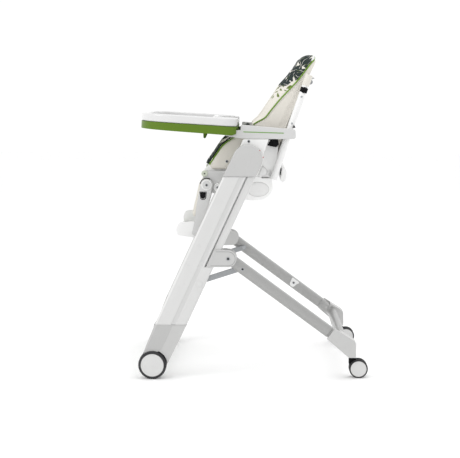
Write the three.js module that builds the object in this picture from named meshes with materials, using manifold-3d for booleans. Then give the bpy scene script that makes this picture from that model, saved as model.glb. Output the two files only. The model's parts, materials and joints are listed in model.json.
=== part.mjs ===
// Folding high chair: two slanted main legs, a folding rear frame on casters, and a seat that slides
// up and down the main legs and carries a reclining backrest, a leg rest, a footrest and a tray.
// Millimetres, +Z up, the chair faces -Y and the sitter's left is +X. The origin is on the floor,
// at the middle of the chair. Inside this file y is measured from the front axle, and the
// finished assembly is moved to its origin at the end.

import * as THREE from "three";
import { mergeVertices } from "three/addons/utils/BufferGeometryUtils.js";
import Module from "manifold-3d";

const wasm = await Module();
wasm.setup();

// ---- Driving dimensions ----

const GAP = 0.35; // clearance between pieces that touch
const LEG_LEAN = 24.8 * THREE.MathUtils.DEG2RAD; // main leg from the vertical, leaning back
const LEG_OUTER = 290; // outer face of a main leg, from the centre plane
const LEG_INNER = 250;
const LEG_FRONT = -48; // front and rear faces of a leg, from its axis
const LEG_REAR = 46;
const RAIL_FACE = 284; // recessed rail behind the leg's cover
const LEG_TOP = { y: 305, z: 706, r: 47 }; // centre and radius of the rounded top cap
const CAP_JOINT_Z = 652;
const RAIL_END_Z = 364;
const FOOT_JOINT_Z = 176;
const FRONT_WHEEL = { r: 45.5, rim: 38, inner: 269, outer: 299, axle: 5 };
const AXLE_Z = FRONT_WHEEL.r;

const PIVOT = { y: 244, z: 391 }; // rear leg pivot in the sliding bracket
const REAR_LEAN = 36.4 * THREE.MathUtils.DEG2RAD; // rear leg below the horizontal
const REAR_TUBE = { x: 266, across: 26, high: 38 };
const REAR_LEG_LENGTH = 404;
const CORNER_AT = 458; // where the rear cross tube's centre line meets the leg's, from the pivot
const BEND_RADIUS = 46;
const STRUT_FOOT = { y: 151, z: 311 }; // fixed strut pivot on the main leg
const STRUT_HEAD = { y: 290, z: 356 }; // strut pivot on the rear leg
const CASTER = { x: 254, y: 643, r: 30, trail: 22, stemTop: 68, half: 18 };

const SEAT_HALF = 174; // outer half width of the seat shell
const PLATE = { inner: 214, outer: 240 }; // seat side plates, beside the main legs
const ARM = { inner: 208, outer: 236 };
const LEGREST_ARM = { inner: 198, outer: 212 };
const LEGREST_PIVOT = { y: 173, z: 620 };
const FOOTREST_PIVOT = { y: 136, z: 470 };
const RECLINE_PIVOT = { y: 380, z: 653 };
const BACK_LEAN = 19.5 * THREE.MathUtils.DEG2RAD; // backrest from the vertical
const BACK_HEIGHT = 416; // backrest along its own slope, from the recline pivot
const BACK_TUBE = { x: 192, r: 12.5, behind: 12 };
const SEAT_FLOOR_Z = 656;
const CUSHION_TOP_Z = 686;

const TRAY_TILT = 3.5 * THREE.MathUtils.DEG2RAD; // the tray's front edge is the higher one
const TRAY = { y: 125, z: 816.6, half: 268, front: -167, rear: 149, base: 27, rim: 27, wall: 4 };

const FRONT_Y = -FRONT_WHEEL.r;
const REAR_Y = CASTER.y + CASTER.trail + CASTER.r;
const MIDDLE_Y = (FRONT_Y + REAR_Y) / 2;

// ---- Materials ----

const finish = (color, roughness, metalness = 0) =>
  new THREE.MeshStandardMaterial({ color, roughness, metalness });
const WHITE = finish(0xe6e6e5, 0.35);
const PALE_GREY = finish(0xcfcfce, 0.4);
const TRAY_WHITE = finish(0xf6f6f6, 0.2);
const GREEN = finish(0x6f9a32, 0.35);
const SILVER = finish(0xb4b4b2, 0.35, 0.6);
const BLACK = finish(0x1b1a1c, 0.6);
const RUBBER = finish(0x2a2a2c, 0.8);
const CREAM = finish(0xdedad2, 0.6);
const STEEL = finish(0x8f9296, 0.3, 0.9);

// ---- Helpers ----

// A closed outline from corners [a, b] or [a, b, radius]; a radius rounds that corner, as far as
// the shorter of its two edges allows.
function outline(corners) {
  const shape = new THREE.Shape();
  const n = corners.length;
  corners.forEach(([a, b, radius = 0], i) => {
    const here = new THREE.Vector2(a, b);
    const before = new THREE.Vector2(...corners[(i + n - 1) % n]).sub(here);
    const after = new THREE.Vector2(...corners[(i + 1) % n]).sub(here);
    const r = Math.min(radius, 0.47 * before.length(), 0.47 * after.length());
    before.setLength(r).add(here);
    after.setLength(r).add(here);
    if (i === 0) shape.moveTo(before.x, before.y);
    else shape.lineTo(before.x, before.y);
    if (r > 0) shape.quadraticCurveTo(a, b, after.x, after.y);
  });
  shape.closePath();
  return shape;
}

function extrude(shape, depth, curveSegments = 5) {
  return new THREE.ExtrudeGeometry(shape, { depth, bevelEnabled: false, curveSegments });
}

const SIDE_VIEW = new THREE.Matrix4().makeBasis(
  new THREE.Vector3(0, 1, 0),
  new THREE.Vector3(0, 0, 1),
  new THREE.Vector3(1, 0, 0),
);

// A side-view outline in (y, z) carried across the chair from x0 to x1.
function across(corners, x0, x1, curveSegments) {
  const shape = Array.isArray(corners) ? outline(corners) : corners;
  return extrude(shape, x1 - x0, curveSegments).applyMatrix4(SIDE_VIEW).translate(x0, 0, 0);
}

// A plan outline in (x, y) carried up from z0 to z1.
function upward(corners, z0, z1, curveSegments) {
  const shape = Array.isArray(corners) ? outline(corners) : corners;
  return extrude(shape, z1 - z0, curveSegments).translate(0, 0, z0);
}

// A section [x, offset from the leg's axis] carried along the leg, with level ends at z0 and z1.
function alongLeg(section, z0, z1) {
  const flat = section.map(([x, h]) => [x, h / Math.cos(LEG_LEAN)]);
  const shear = new THREE.Matrix4().set(
    1, 0, 0, 0,
    0, 1, Math.tan(LEG_LEAN), -AXLE_Z * Math.tan(LEG_LEAN),
    0, 0, 1, 0,
    0, 0, 0, 1,
  );
  return upward(flat, z0, z1).applyMatrix4(shear);
}

// The y of the leg's axis at height z.
const legY = (z) => (z - AXLE_Z) * Math.tan(LEG_LEAN);

// A round bar along x, from x0 to x1, at (y, z).
function bar(y, z, r, x0, x1, segments = 24) {
  return new THREE.CylinderGeometry(r, r, x1 - x0, segments)
    .rotateZ(Math.PI / 2)
    .translate((x0 + x1) / 2, y, z);
}

// A turned piece about the x axis at (y, z), from a closed profile of [radius, x] whose outer
// edge runs towards +x.
function turned(profile, y, z, segments = 32) {
  const points = profile.map(([r, x]) => new THREE.Vector2(r, x));
  return new THREE.LatheGeometry(points, segments).rotateZ(-Math.PI / 2).translate(0, y, z);
}

function solid(geometry) {
  const bare = geometry.clone();
  bare.deleteAttribute("normal");
  bare.deleteAttribute("uv");
  const merged = mergeVertices(bare, 1e-3);
  return new wasm.Manifold(
    new wasm.Mesh({
      numProp: 3,
      vertProperties: merged.attributes.position.array,
      triVerts: new Uint32Array(merged.index.array),
    }),
  );
}

function geometryOf(manifold) {
  const { vertProperties, triVerts } = manifold.getMesh();
  const geometry = new THREE.BufferGeometry();
  geometry.setAttribute("position", new THREE.BufferAttribute(vertProperties, 3));
  geometry.setIndex(new THREE.BufferAttribute(triVerts, 1));
  geometry.computeVertexNormals();
  return geometry;
}

function join(...geometries) {
  return geometryOf(geometries.map(solid).reduce((whole, piece) => whole.add(piece)));
}

function cut(geometry, ...cutters) {
  return geometryOf(cutters.map(solid).reduce((whole, cutter) => whole.subtract(cutter), solid(geometry)));
}

const chair = new THREE.Group();

function add(name, geometry, material, group = chair) {
  const mesh = new THREE.Mesh(geometry, material);
  mesh.name = name;
  group.add(mesh);
  return mesh;
}

// Builds one side of the chair as its left, then mirrors it for the right.
function bothSides(build) {
  for (const [side, sign] of [["left", 1], ["right", -1]]) {
    const group = new THREE.Group();
    group.scale.x = sign;
    chair.add(group);
    build((name, geometry, material) => add(`${name}_${side}`, geometry, material, group));
  }
}

// A point in the backrest's own frame: up its slope and forward of the line through its pivot.
function onBack(up, forward, radius = 0) {
  const s = Math.sin(BACK_LEAN);
  const c = Math.cos(BACK_LEAN);
  return [RECLINE_PIVOT.y + up * s - forward * c, RECLINE_PIVOT.z + up * c + forward * s, radius];
}

// A point in the rear leg's own frame: down the leg from its pivot, and above its axis.
function onRearLeg(along, above, radius = 0) {
  const s = Math.sin(REAR_LEAN);
  const c = Math.cos(REAR_LEAN);
  return [PIVOT.y + along * c + above * s, PIVOT.z - along * s + above * c, radius];
}

// A flat bar with round ends between two points in side view.
function link(a, b, r) {
  const angle = Math.atan2(b.z - a.z, b.y - a.y);
  const shape = new THREE.Shape();
  shape.absarc(b.y, b.z, r, angle - Math.PI / 2, angle + Math.PI / 2, false);
  shape.absarc(a.y, a.z, r, angle + Math.PI / 2, angle + Math.PI * 1.5, false);
  shape.closePath();
  return shape;
}

// ---- Main legs ----

// The inner face has a T-slot for the seat's slider.
const SLOT = { neck: 6, half: 14, lip: 5, depth: 15 };
const INNER_SECTION = [
  [LEG_INNER + 4, LEG_REAR],
  [LEG_INNER, LEG_REAR - 4],
  [LEG_INNER, SLOT.neck],
  [LEG_INNER + SLOT.lip, SLOT.neck],
  [LEG_INNER + SLOT.lip, SLOT.half],
  [LEG_INNER + SLOT.depth, SLOT.half],
  [LEG_INNER + SLOT.depth, -SLOT.half],
  [LEG_INNER + SLOT.lip, -SLOT.half],
  [LEG_INNER + SLOT.lip, -SLOT.neck],
  [LEG_INNER, -SLOT.neck],
  [LEG_INNER, LEG_FRONT + 4],
  [LEG_INNER + 4, LEG_FRONT],
];
const COVER_SECTION = [
  [LEG_OUTER - 6, LEG_FRONT],
  [LEG_OUTER - 2, LEG_FRONT + 2],
  [LEG_OUTER, LEG_FRONT + 6],
  [LEG_OUTER, -1],
  [LEG_OUTER - 1.5, 1],
  [LEG_OUTER - 1.5, 11],
  [LEG_OUTER, 13],
];
const RAIL_SECTION = [
  [LEG_OUTER, 19],
  [LEG_OUTER - 13, 19],
  [LEG_OUTER - 13, 23],
  [RAIL_FACE, 23],
  [RAIL_FACE, LEG_REAR - 3],
  [RAIL_FACE - 3, LEG_REAR],
];
const CLOSED_SECTION = [
  [LEG_OUTER, LEG_REAR - 6],
  [LEG_OUTER - 2, LEG_REAR - 2],
  [LEG_OUTER - 6, LEG_REAR],
];

function mainLeg() {
  const upper = [...INNER_SECTION, ...COVER_SECTION, ...RAIL_SECTION];
  const lower = [...INNER_SECTION, ...COVER_SECTION, ...CLOSED_SECTION];
  return join(
    alongLeg(upper, RAIL_END_Z, CAP_JOINT_Z - GAP),
    alongLeg(lower, FOOT_JOINT_Z + GAP, RAIL_END_Z),
  );
}

// A leg-shaped outline in side view, with a round end about (y, z), cut level at jointZ.
function legEnd({ y, z, r }, jointZ, front, rear) {
  const up = z > jointZ;
  const lean = Math.PI / 2 - LEG_LEAN;
  const shape = new THREE.Shape();
  const cos = Math.cos(LEG_LEAN);
  const from = lean - Math.PI / 2;
  shape.moveTo(legY(jointZ) + rear / cos, jointZ);
  shape.lineTo(y + r * Math.cos(from), z + r * Math.sin(from));
  shape.absarc(y, z, r, from, lean + Math.PI / 2, !up);
  shape.lineTo(legY(jointZ) + front / cos, jointZ);
  shape.closePath();
  return shape;
}

function legCap() {
  const shape = legEnd(LEG_TOP, CAP_JOINT_Z, LEG_FRONT, LEG_REAR);
  return across(shape, LEG_INNER - 2, LEG_OUTER + 1, 14);
}

function legFoot() {
  const shape = legEnd({ y: 0, z: AXLE_Z, r: 42 }, FOOT_JOINT_Z, LEG_FRONT, LEG_REAR);
  const wheelRoom = bar(0, AXLE_Z, 49, FRONT_WHEEL.inner - 2, LEG_OUTER + 5, 40);
  const axleHole = bar(0, AXLE_Z, FRONT_WHEEL.axle + GAP, LEG_INNER - 5, LEG_OUTER);
  return cut(across(shape, LEG_INNER, LEG_OUTER, 14), wheelRoom, axleHole);
}

function frontTyre() {
  const { r, rim, inner, outer } = FRONT_WHEEL;
  const bore = rim + GAP;
  const tread = [[r - 3, inner], [r, inner + 4], [r, outer - 4], [r - 3, outer]];
  return turned([[bore, inner], ...tread, [bore, outer], [bore, inner]], 0, AXLE_Z, 40);
}

function frontHub() {
  const { rim, inner, outer, axle } = FRONT_WHEEL;
  const bore = axle + GAP;
  const disc = [[rim, inner], [rim, outer - 1], [rim - 2, outer + 1], [0, outer + 1]];
  return turned([[bore, inner], ...disc, [0, outer - 10], [bore, outer - 10], [bore, inner]], 0, AXLE_Z, 40);
}

// One tube ties the feet together, and its thinner ends are the front wheels' axles.
function frontAxleTube() {
  const shoulder = LEG_INNER - GAP;
  const end = FRONT_WHEEL.outer - 11;
  const { axle } = FRONT_WHEEL;
  const half = [[axle, shoulder], [axle, end], [0, end]];
  const otherHalf = [[0, -end], [axle, -end], [axle, -shoulder], [12, -shoulder], [12, shoulder]];
  return turned([...otherHalf, ...half], 0, AXLE_Z, 20);
}

bothSides((piece) => {
  piece("main_leg", mainLeg(), WHITE);
  piece("leg_cap", legCap(), PALE_GREY);
  piece("leg_foot", legFoot(), PALE_GREY);
  piece("front_tyre", frontTyre(), RUBBER);
  piece("front_hub", frontHub(), WHITE);
});
add("front_axle_tube", frontAxleTube(), STEEL);

// ---- Folding rear frame ----

const CHEEK = { outerIn: 280.5, outerOut: 291, innerIn: 243, innerOut: 250.5 };

// A bracket slides on the leg's rail and holds the rear leg between two cheeks.
function rearBracket() {
  const railLine = (z, h) => legY(z) + h / Math.cos(LEG_LEAN);
  const top = PIVOT.z + 28;
  const bottom = PIVOT.z - 27;
  const round = 27;
  const shape = (front) => {
    const s = new THREE.Shape();
    s.moveTo(railLine(top, front), top);
    s.lineTo(railLine(bottom, front), bottom);
    s.lineTo(PIVOT.y, bottom);
    s.absarc(PIVOT.y, PIVOT.z, round, -Math.PI / 2, Math.PI / 2, false);
    s.lineTo(PIVOT.y - 4, top);
    s.closePath();
    return s;
  };
  const behind = LEG_REAR + GAP;
  const outer = cut(
    across(shape(24), CHEEK.outerIn, CHEEK.outerOut, 12),
    alongLeg([[200, 0], [RAIL_FACE + GAP, 0], [RAIL_FACE + GAP, behind], [200, behind]], 300, 500),
  );
  const inner = across(shape(24), CHEEK.innerIn, LEG_INNER - GAP, 12);
  const innerRear = across(shape(behind), LEG_INNER - 2, CHEEK.innerOut, 12);
  const web = across(
    [
      [railLine(top, behind), top],
      [railLine(bottom, behind), bottom],
      [railLine(bottom, behind + 5), bottom],
      [railLine(top, behind + 5), top],
    ],
    CHEEK.innerIn,
    CHEEK.outerOut,
  );
  const pin = bar(PIVOT.y, PIVOT.z, 5, CHEEK.innerIn + 1, CHEEK.outerOut - 1, 16);
  return join(outer, inner, innerRear, web, pin);
}

// An oval tube section, one width across the chair or the bend and the other at right angles.
function ovalSection(across_, high, grow = 0) {
  const shape = new THREE.Shape();
  shape.absellipse(0, 0, across_ / 2 + grow, high / 2 + grow, 0, Math.PI * 2, false);
  return shape;
}

function rearLeg() {
  const axis = new THREE.LineCurve3(
    new THREE.Vector3(REAR_TUBE.x, ...onRearLeg(-14, 0).slice(0, 2)),
    new THREE.Vector3(REAR_TUBE.x, ...onRearLeg(REAR_LEG_LENGTH, 0).slice(0, 2)),
  );
  const tube = new THREE.ExtrudeGeometry(ovalSection(REAR_TUBE.across, REAR_TUBE.high), {
    steps: 1,
    curveSegments: 5,
    extrudePath: axis,
  });
  return cut(tube, bar(PIVOT.y, PIVOT.z, 5 + GAP, 240, 300, 16));
}

// The U-shaped cross tube follows both legs' lines and bends across between them.
class CrossTubeLine extends THREE.Curve {
  constructor() {
    super();
    this.straight = CORNER_AT - BEND_RADIUS - REAR_LEG_LENGTH - GAP;
    this.arc = (BEND_RADIUS * Math.PI) / 2;
    this.half = this.straight + this.arc + REAR_TUBE.x - BEND_RADIUS;
  }

  getPoint(t, target = new THREE.Vector3()) {
    const side = t < 0.5 ? 1 : -1;
    const run = (t < 0.5 ? t : 1 - t) * 2 * this.half;
    const bend = THREE.MathUtils.clamp((run - this.straight) / BEND_RADIUS, 0, Math.PI / 2);
    const past = Math.max(run - this.straight - this.arc, 0);
    const start = CORNER_AT - BEND_RADIUS;
    const along = Math.min(start - this.straight + run, start) + BEND_RADIUS * Math.sin(bend);
    const x = REAR_TUBE.x - BEND_RADIUS * (1 - Math.cos(bend)) - past;
    const [y, z] = onRearLeg(along, 0);
    return target.set(side * x, y, z);
  }
}

function crossTube(grow = 0, curveSegments = 4) {
  return new THREE.ExtrudeGeometry(ovalSection(REAR_TUBE.across - 1, REAR_TUBE.high - 2, grow), {
    steps: 36,
    curveSegments,
    extrudePath: new CrossTubeLine(),
  });
}

// A plastic corner piece covers the bend and carries the caster's stem.
function casterHousing() {
  const shape = outline([
    [...onRearLeg(REAR_LEG_LENGTH + 6, 21), 3],
    [654, 122, 8],
    [655, 70, 3],
    [632, 70, 3],
    [...onRearLeg(REAR_LEG_LENGTH + 6, -21), 3],
  ]);
  return cut(
    across(shape, 238, 286, 4),
    crossTube(GAP + 0.4, 6),
    upward([[200, 560], [REAR_TUBE.x + 8, 560], [REAR_TUBE.x + 8, 606], [200, 606]], 60, 200),
    new THREE.CylinderGeometry(6 + GAP, 6 + GAP, 20, 16)
      .rotateX(Math.PI / 2)
      .translate(CASTER.x, CASTER.y, 71),
  );
}

function trayHook() {
  const at = 282;
  const body = [onRearLeg(at - 15, 15, 4), onRearLeg(at + 15, 15, 4), onRearLeg(at + 9, -13, 8), onRearLeg(at - 9, -13, 8)];
  const lip = [onRearLeg(at - 15, 15, 2), onRearLeg(at + 15, 15, 2), onRearLeg(at + 15, 8, 2), onRearLeg(at - 15, 8, 2)];
  const x = REAR_TUBE.x - REAR_TUBE.across / 2 - GAP;
  return join(across(body, x - 4, x), across(lip, x - 12, x - 3));
}

function foldStrut() {
  return across(link(STRUT_FOOT, STRUT_HEAD, 9), 243.5, 248.8, 8);
}

function casterFork() {
  const { x, y, trail, r, stemTop } = CASTER;
  const wheelY = y + trail;
  const spine = across(
    [[y - 9, 44, 3], [y - 9, stemTop - 3, 2], [y + 9, stemTop - 3, 2], [wheelY + 6, r + 20, 8], [wheelY + 12, r + 4, 6], [wheelY - 8, r - 10, 6]],
    x - 5,
    x + 5,
  );
  const stem = new THREE.CylinderGeometry(6, 6, 14, 16).rotateX(Math.PI / 2).translate(x, y, stemTop + 4);
  return cut(join(spine, stem), bar(wheelY, r, 4 + GAP, x - 30, x + 30, 16));
}

// Two discs on one short axle.
function casterWheel() {
  const { x, y, trail, r, half } = CASTER;
  const face = (sign) => x + sign * half;
  const root = (sign) => x + sign * 6;
  const profile = [
    [0, face(-1)], [r - 5, face(-1)], [r - 4, face(-1) + 1], [r - 1, face(-1) + 1], [r, face(-1) + 3], [r, root(-1) - 1],
    [r - 1, root(-1)], [4, root(-1)], [4, root(1)], [r - 1, root(1)], [r, root(1) + 1],
    [r, face(1) - 3], [r - 1, face(1) - 1], [r - 4, face(1) - 1], [r - 5, face(1)], [0, face(1)],
  ];
  return turned(profile, y + trail, r, 28);
}

bothSides((piece) => {
  piece("rear_bracket", rearBracket(), WHITE);
  piece("rear_leg", rearLeg(), SILVER);
  piece("fold_strut", foldStrut(), STEEL);
  piece("caster_housing", casterHousing(), PALE_GREY);
  piece("tray_hook", trayHook(), WHITE);
  piece("caster_fork", casterFork(), BLACK);
  piece("caster_wheel", casterWheel(), RUBBER);
});
add("rear_cross_tube", crossTube(), SILVER);

// ---- Seat ----

// The top edge of the cover's side, from the front of the seat up to the armrest.
const COVER_EDGE = [
  [176, 684, 4],
  [196, 712, 20],
  [222, 751, 14],
  [250, 770, 20],
  [314, 803, 5],
];

// A small D-shaped button behind each main leg releases the height stop. Its outline can be grown
// by a factor about its middle.
function heightButtonOutline(factor = 1) {
  const corners = [[354, 679, 3], [368, 668, 6], [368, 655, 6], [364, 649, 3], [341, 649, 2]];
  return corners.map(([y, z, r]) => [359 + (y - 359) * factor, 662 + (z - 662) * factor, r]);
}

const BUTTON_POCKET_X = SEAT_HALF - 4.8;

function seatShell() {
  const wall = [
    [164, 645, 6], [164, 668, 6], [194, 700, 10], [222, 742, 10], [250, 764, 10],
    [404, 764, 4], [404, 735, 6], [397, 690, 8], [389, 645, 6],
  ];
  const floor = [[164, 645, 4], [164, SEAT_FLOOR_Z, 4], [350, SEAT_FLOOR_Z], [350, 645]];
  const pocket = heightButtonOutline(1.06);
  return cut(
    join(
      across(wall, SEAT_HALF - 6, SEAT_HALF),
      across(wall, -SEAT_HALF, -SEAT_HALF + 6),
      across(floor, -SEAT_HALF + 1, SEAT_HALF - 1),
    ),
    across(pocket, BUTTON_POCKET_X, SEAT_HALF + 5),
    across(pocket, -SEAT_HALF - 5, -BUTTON_POCKET_X),
  );
}

// The round-bottomed housing under the seat holds its mechanism, and a beam ties it to the side plates.
function mechanismHousing() {
  const body = [
    [232, 644, 4], [350, 644], [350, 639], [384, 639, 10], [389, 600, 22], [364, 571, 20], [322, 566, 20], [262, 574, 20],
  ];
  const beam = [[252, 590, 6], [252, 622, 6], [296, 622, 6], [296, 590, 6]];
  return join(
    across(body, -SEAT_HALF + 4, SEAT_HALF - 4, 7),
    across(beam, -PLATE.inner + GAP, PLATE.inner - GAP),
  );
}

function sidePlate() {
  const corners = [
    [291, 768.5], [373, 768.5], [351, 706, 20], [264, 520, 8], [192, 520, 8], [262, 672, 20], [270, 727, 20], [284, 752, 10],
  ];
  return across(corners, PLATE.inner, PLATE.outer);
}

function heightSlider() {
  const play = 1;
  const block = 14;
  const neck = SLOT.neck - play;
  const head = SLOT.half - play;
  const section = [
    [PLATE.outer + GAP, -block], [LEG_INNER - GAP, -block], [LEG_INNER - GAP, -neck],
    [LEG_INNER + SLOT.lip + play, -neck], [LEG_INNER + SLOT.lip + play, -head],
    [LEG_INNER + SLOT.depth - play, -head], [LEG_INNER + SLOT.depth - play, head],
    [LEG_INNER + SLOT.lip + play, head], [LEG_INNER + SLOT.lip + play, neck],
    [LEG_INNER - GAP, neck], [LEG_INNER - GAP, block], [PLATE.outer + GAP, block],
  ];
  return alongLeg(section, 526, 640);
}

// The leg rest's hinge block, with a pin that the leg rest's arm turns on.
function legrestHousing() {
  const { y, z } = LEGREST_PIVOT;
  const block = [
    [160, 640, 10], [166, 665, 4], [238, 665, 4], [246, 640, 10], [226, 598, 16], [200, 590, 12], [172, 600, 12],
  ];
  return join(
    across(block, SEAT_HALF + GAP, LEGREST_ARM.inner - 1.5),
    bar(y, z, 6, LEGREST_ARM.inner - 3, LEGREST_ARM.outer + 1, 16),
  );
}

function armrest() {
  const corners = [
    [190, 792, 3], [206, 789, 10], [248, 776, 20], [300, 769, 20], [442, 769], [459, 770, 14], [458, 800, 16],
    [440, 801.5], [284, 814, 3], [282, 796.5], [190, 801, 3],
  ];
  return across(corners, ARM.inner, ARM.outer);
}

// The seat cover's solid: a cushion between the walls, raised sides, and flaps down the outside.
function seatCushion() {
  const slab = [[172, SEAT_FLOOR_Z + GAP, 6], [172, CUSHION_TOP_Z, 12], [350, CUSHION_TOP_Z], [350, SEAT_FLOOR_Z + GAP]];
  const wing = [...COVER_EDGE, [388, 776, 4], [360, 684], [350, SEAT_FLOOR_Z + GAP], [176, SEAT_FLOOR_Z + GAP]];
  const flap = [...COVER_EDGE, [300, 766, 8], [238, 667, 3], [187, 666.5, 3]];
  const wallRoom = [
    [150, 600], [150, 669], [190, 703], [219, 745], [248, 767], [430, 767], [430, 600],
  ];
  const side = cut(
    join(across(wing, 148, SEAT_HALF - 6 - GAP), across(flap, 148, SEAT_HALF + 11)),
    across(wallRoom, SEAT_HALF - 6 - GAP, SEAT_HALF + GAP),
    across([[100, 600], [100, 665], [188, 665], [420, 665], [420, 600]], SEAT_HALF - 2, 250),
  );
  const otherSide = geometryOf(solid(side).mirror([1, 0, 0]));
  return join(across(slab, -150, 150), side, otherSide);
}

function lapStraps() {
  const z = CUSHION_TOP_Z + GAP;
  const crotch = upward([[-12.5, 226], [12.5, 226], [12.5, 348], [-12.5, 348]], z, z + 2.2);
  const lap = upward([[-146, 324], [146, 324], [146, 348], [-146, 348]], z, z + 2.2);
  return join(crotch, lap);
}

const BUCKLE = { y: 300, z: CUSHION_TOP_Z + 3, high: 14, pocket: 12 };

function buckle() {
  const { y, z, high, pocket } = BUCKLE;
  const body = upward([[-30, y - 20, 10], [30, y - 20, 10], [34, y + 20, 8], [-34, y + 20, 8]], z, z + high);
  const hole = new THREE.CylinderGeometry(pocket, pocket, 10, 20).rotateX(Math.PI / 2).translate(0, y, z + high);
  return cut(body, hole);
}

function buckleButton() {
  const { y, z, high, pocket } = BUCKLE;
  return new THREE.CylinderGeometry(pocket - 1, pocket - 1, 4.5, 20)
    .rotateX(Math.PI / 2)
    .translate(0, y, z + high + 0.4);
}

function heightButton() {
  return across(heightButtonOutline(), BUTTON_POCKET_X + 2.6, SEAT_HALF + 5);
}

bothSides((piece) => {
  piece("seat_side_plate", sidePlate(), WHITE);
  piece("height_slider", heightSlider(), BLACK);
  piece("legrest_housing", legrestHousing(), PALE_GREY);
  piece("armrest", armrest(), WHITE);
  piece("height_button", heightButton(), WHITE);
});
add("seat_shell", seatShell(), WHITE);
add("mechanism_housing", mechanismHousing(), WHITE);
add("seat_cushion", seatCushion(), CREAM);
add("lap_straps", lapStraps(), BLACK);
add("harness_buckle", buckle(), BLACK);
add("buckle_button", buckleButton(), finish(0xb03030, 0.4));

// ---- Backrest ----

function backrestShell() {
  const corners = [onBack(16, 0, 2), onBack(16, -8, 2), onBack(BACK_HEIGHT - 14, -8, 6), onBack(BACK_HEIGHT - 6, 0, 3)];
  return across(corners, -158, 158);
}

function backTube() {
  const behind = -BACK_TUBE.behind;
  const axis = new THREE.LineCurve3(
    new THREE.Vector3(BACK_TUBE.x, ...onBack(-12, behind).slice(0, 2)),
    new THREE.Vector3(BACK_TUBE.x, ...onBack(336, behind + 3).slice(0, 2)),
  );
  const tube = new THREE.ExtrudeGeometry(ovalSection(BACK_TUBE.r * 2, BACK_TUBE.r * 2), {
    steps: 1,
    curveSegments: 4,
    extrudePath: axis,
  });
  const [footY, footZ] = onBack(-8, behind);
  const lug = link(RECLINE_PIVOT, { y: footY, z: footZ }, 10);
  return join(tube, across(lug, SEAT_HALF + 1, SEAT_HALF + 10, 6));
}

function backCrossBar() {
  const [y, z] = onBack(322, -20);
  return bar(y, z, 8, -BACK_TUBE.x + BACK_TUBE.r - 0.5, BACK_TUBE.x - BACK_TUBE.r + 0.5, 16);
}

const WING_EDGE = [[132, 112], [159, 101], [176, 92], [249, 73], [331, 49], [372, 34], [398, 14]];

// The backrest's padding: a slab, with raised wings that run out towards the head.
function backrestCushion() {
  const slab = [onBack(18, GAP), onBack(18, 26, 10), onBack(BACK_HEIGHT - 6, 22, 14), onBack(BACK_HEIGHT, GAP, 6)];
  const wing = [
    onBack(132, GAP),
    ...WING_EDGE.map(([up, forward]) => onBack(up, forward, 8)),
    onBack(BACK_HEIGHT, GAP, 4),
  ];
  return join(across(slab, -150, 150), across(wing, 134, 166), across(wing, -166, -134));
}

function shoulderStrap() {
  const lift = 26 + GAP;
  const corners = [onBack(62, lift), onBack(62, lift + 2.5), onBack(292, lift - 0.5), onBack(292, lift - 3)];
  return across(corners, 42, 67);
}

// A bail across the foot of the backrest, behind its tubes, releases the recline stop.
function reclineHandle() {
  const grip = [
    [411, 634, 3], [419, 627, 6], [428, 632, 6], [433, 662, 8], [425, 676, 6], [417, 674, 2], [414, 652, 6],
  ];
  return across(grip, -188, 188, 4);
}

bothSides((piece) => {
  piece("back_tube", backTube(), WHITE);
  piece("shoulder_strap", shoulderStrap(), BLACK);
});
add("backrest_shell", backrestShell(), WHITE);
add("back_cross_bar", backCrossBar(), STEEL);
add("backrest_cushion", backrestCushion(), CREAM);
add("recline_handle", reclineHandle(), WHITE);

// ---- Leg rest and footrest ----

const LEGREST_WINDOW = [[152, 596, 2], [171, 596, 2], [168, 577, 6], [156, 575, 6]];

function legrestArm() {
  const { y, z } = LEGREST_PIVOT;
  const blade = [
    [y - 20, z, 4], [141, 560, 20], [134, 500, 10], [124, 462, 4], [136, 452, 4], [148, 462, 8], [176, 558, 20], [y + 17, z - 12, 4],
  ];
  const disc = bar(y, z, 20, LEGREST_ARM.inner, LEGREST_ARM.outer, 28);
  return cut(
    join(disc, across(blade, LEGREST_ARM.inner, LEGREST_ARM.outer)),
    bar(y, z, 6 + GAP, 180, 230, 16),
    across(LEGREST_WINDOW, LEGREST_ARM.inner + 4, 230),
  );
}

function legrestButton() {
  const inset = LEGREST_WINDOW.map(([y, z, r]) => [161 + (y - 161) * 0.93, 586 + (z - 586) * 0.93, r]);
  return across(inset, LEGREST_ARM.outer - 4, LEGREST_ARM.outer + 1.5);
}

// Both leg rest panel and pad follow the line of the arms.
function legrestStrip(front, back, x, top, bottom) {
  const lean = (z) => 163 - (LEGREST_PIVOT.z - z) * 0.24;
  return across(
    [[lean(top) + front, top, 3], [lean(top) + back, top, 1], [lean(bottom) + back, bottom, 1], [lean(bottom) + front, bottom, 3]],
    -x,
    x,
  );
}

// A shallow shelf with raised sides, pivoted between the ends of the leg rest's arms.
function footrest() {
  const floor = [[78, 455, 3], [74, 462, 3], [130, 456, 2], [130, 447, 3]];
  const side = [[78, 455, 4], [72, 472, 8], [80, 496, 14], [132, 501, 6], [134, 447, 3]];
  const outer = LEGREST_ARM.inner - 1;
  return join(
    across(floor, -outer, outer),
    across(side, outer - 6, outer),
    across(side, -outer, -outer + 6),
  );
}

bothSides((piece) => {
  piece("legrest_arm", legrestArm(), PALE_GREY);
  piece("legrest_button", legrestButton(), BLACK);
});
add("legrest_panel", legrestStrip(0, 7, LEGREST_ARM.inner - GAP, 596, 520), WHITE);
add("legrest_pad", legrestStrip(-14, -GAP, 165, 632, 508), CREAM);
add("footrest", footrest(), PALE_GREY);

// ---- Tray ----

const tray = new THREE.Group();
tray.position.set(0, TRAY.y, TRAY.z);
tray.rotation.x = -TRAY_TILT;
chair.add(tray);

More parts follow.
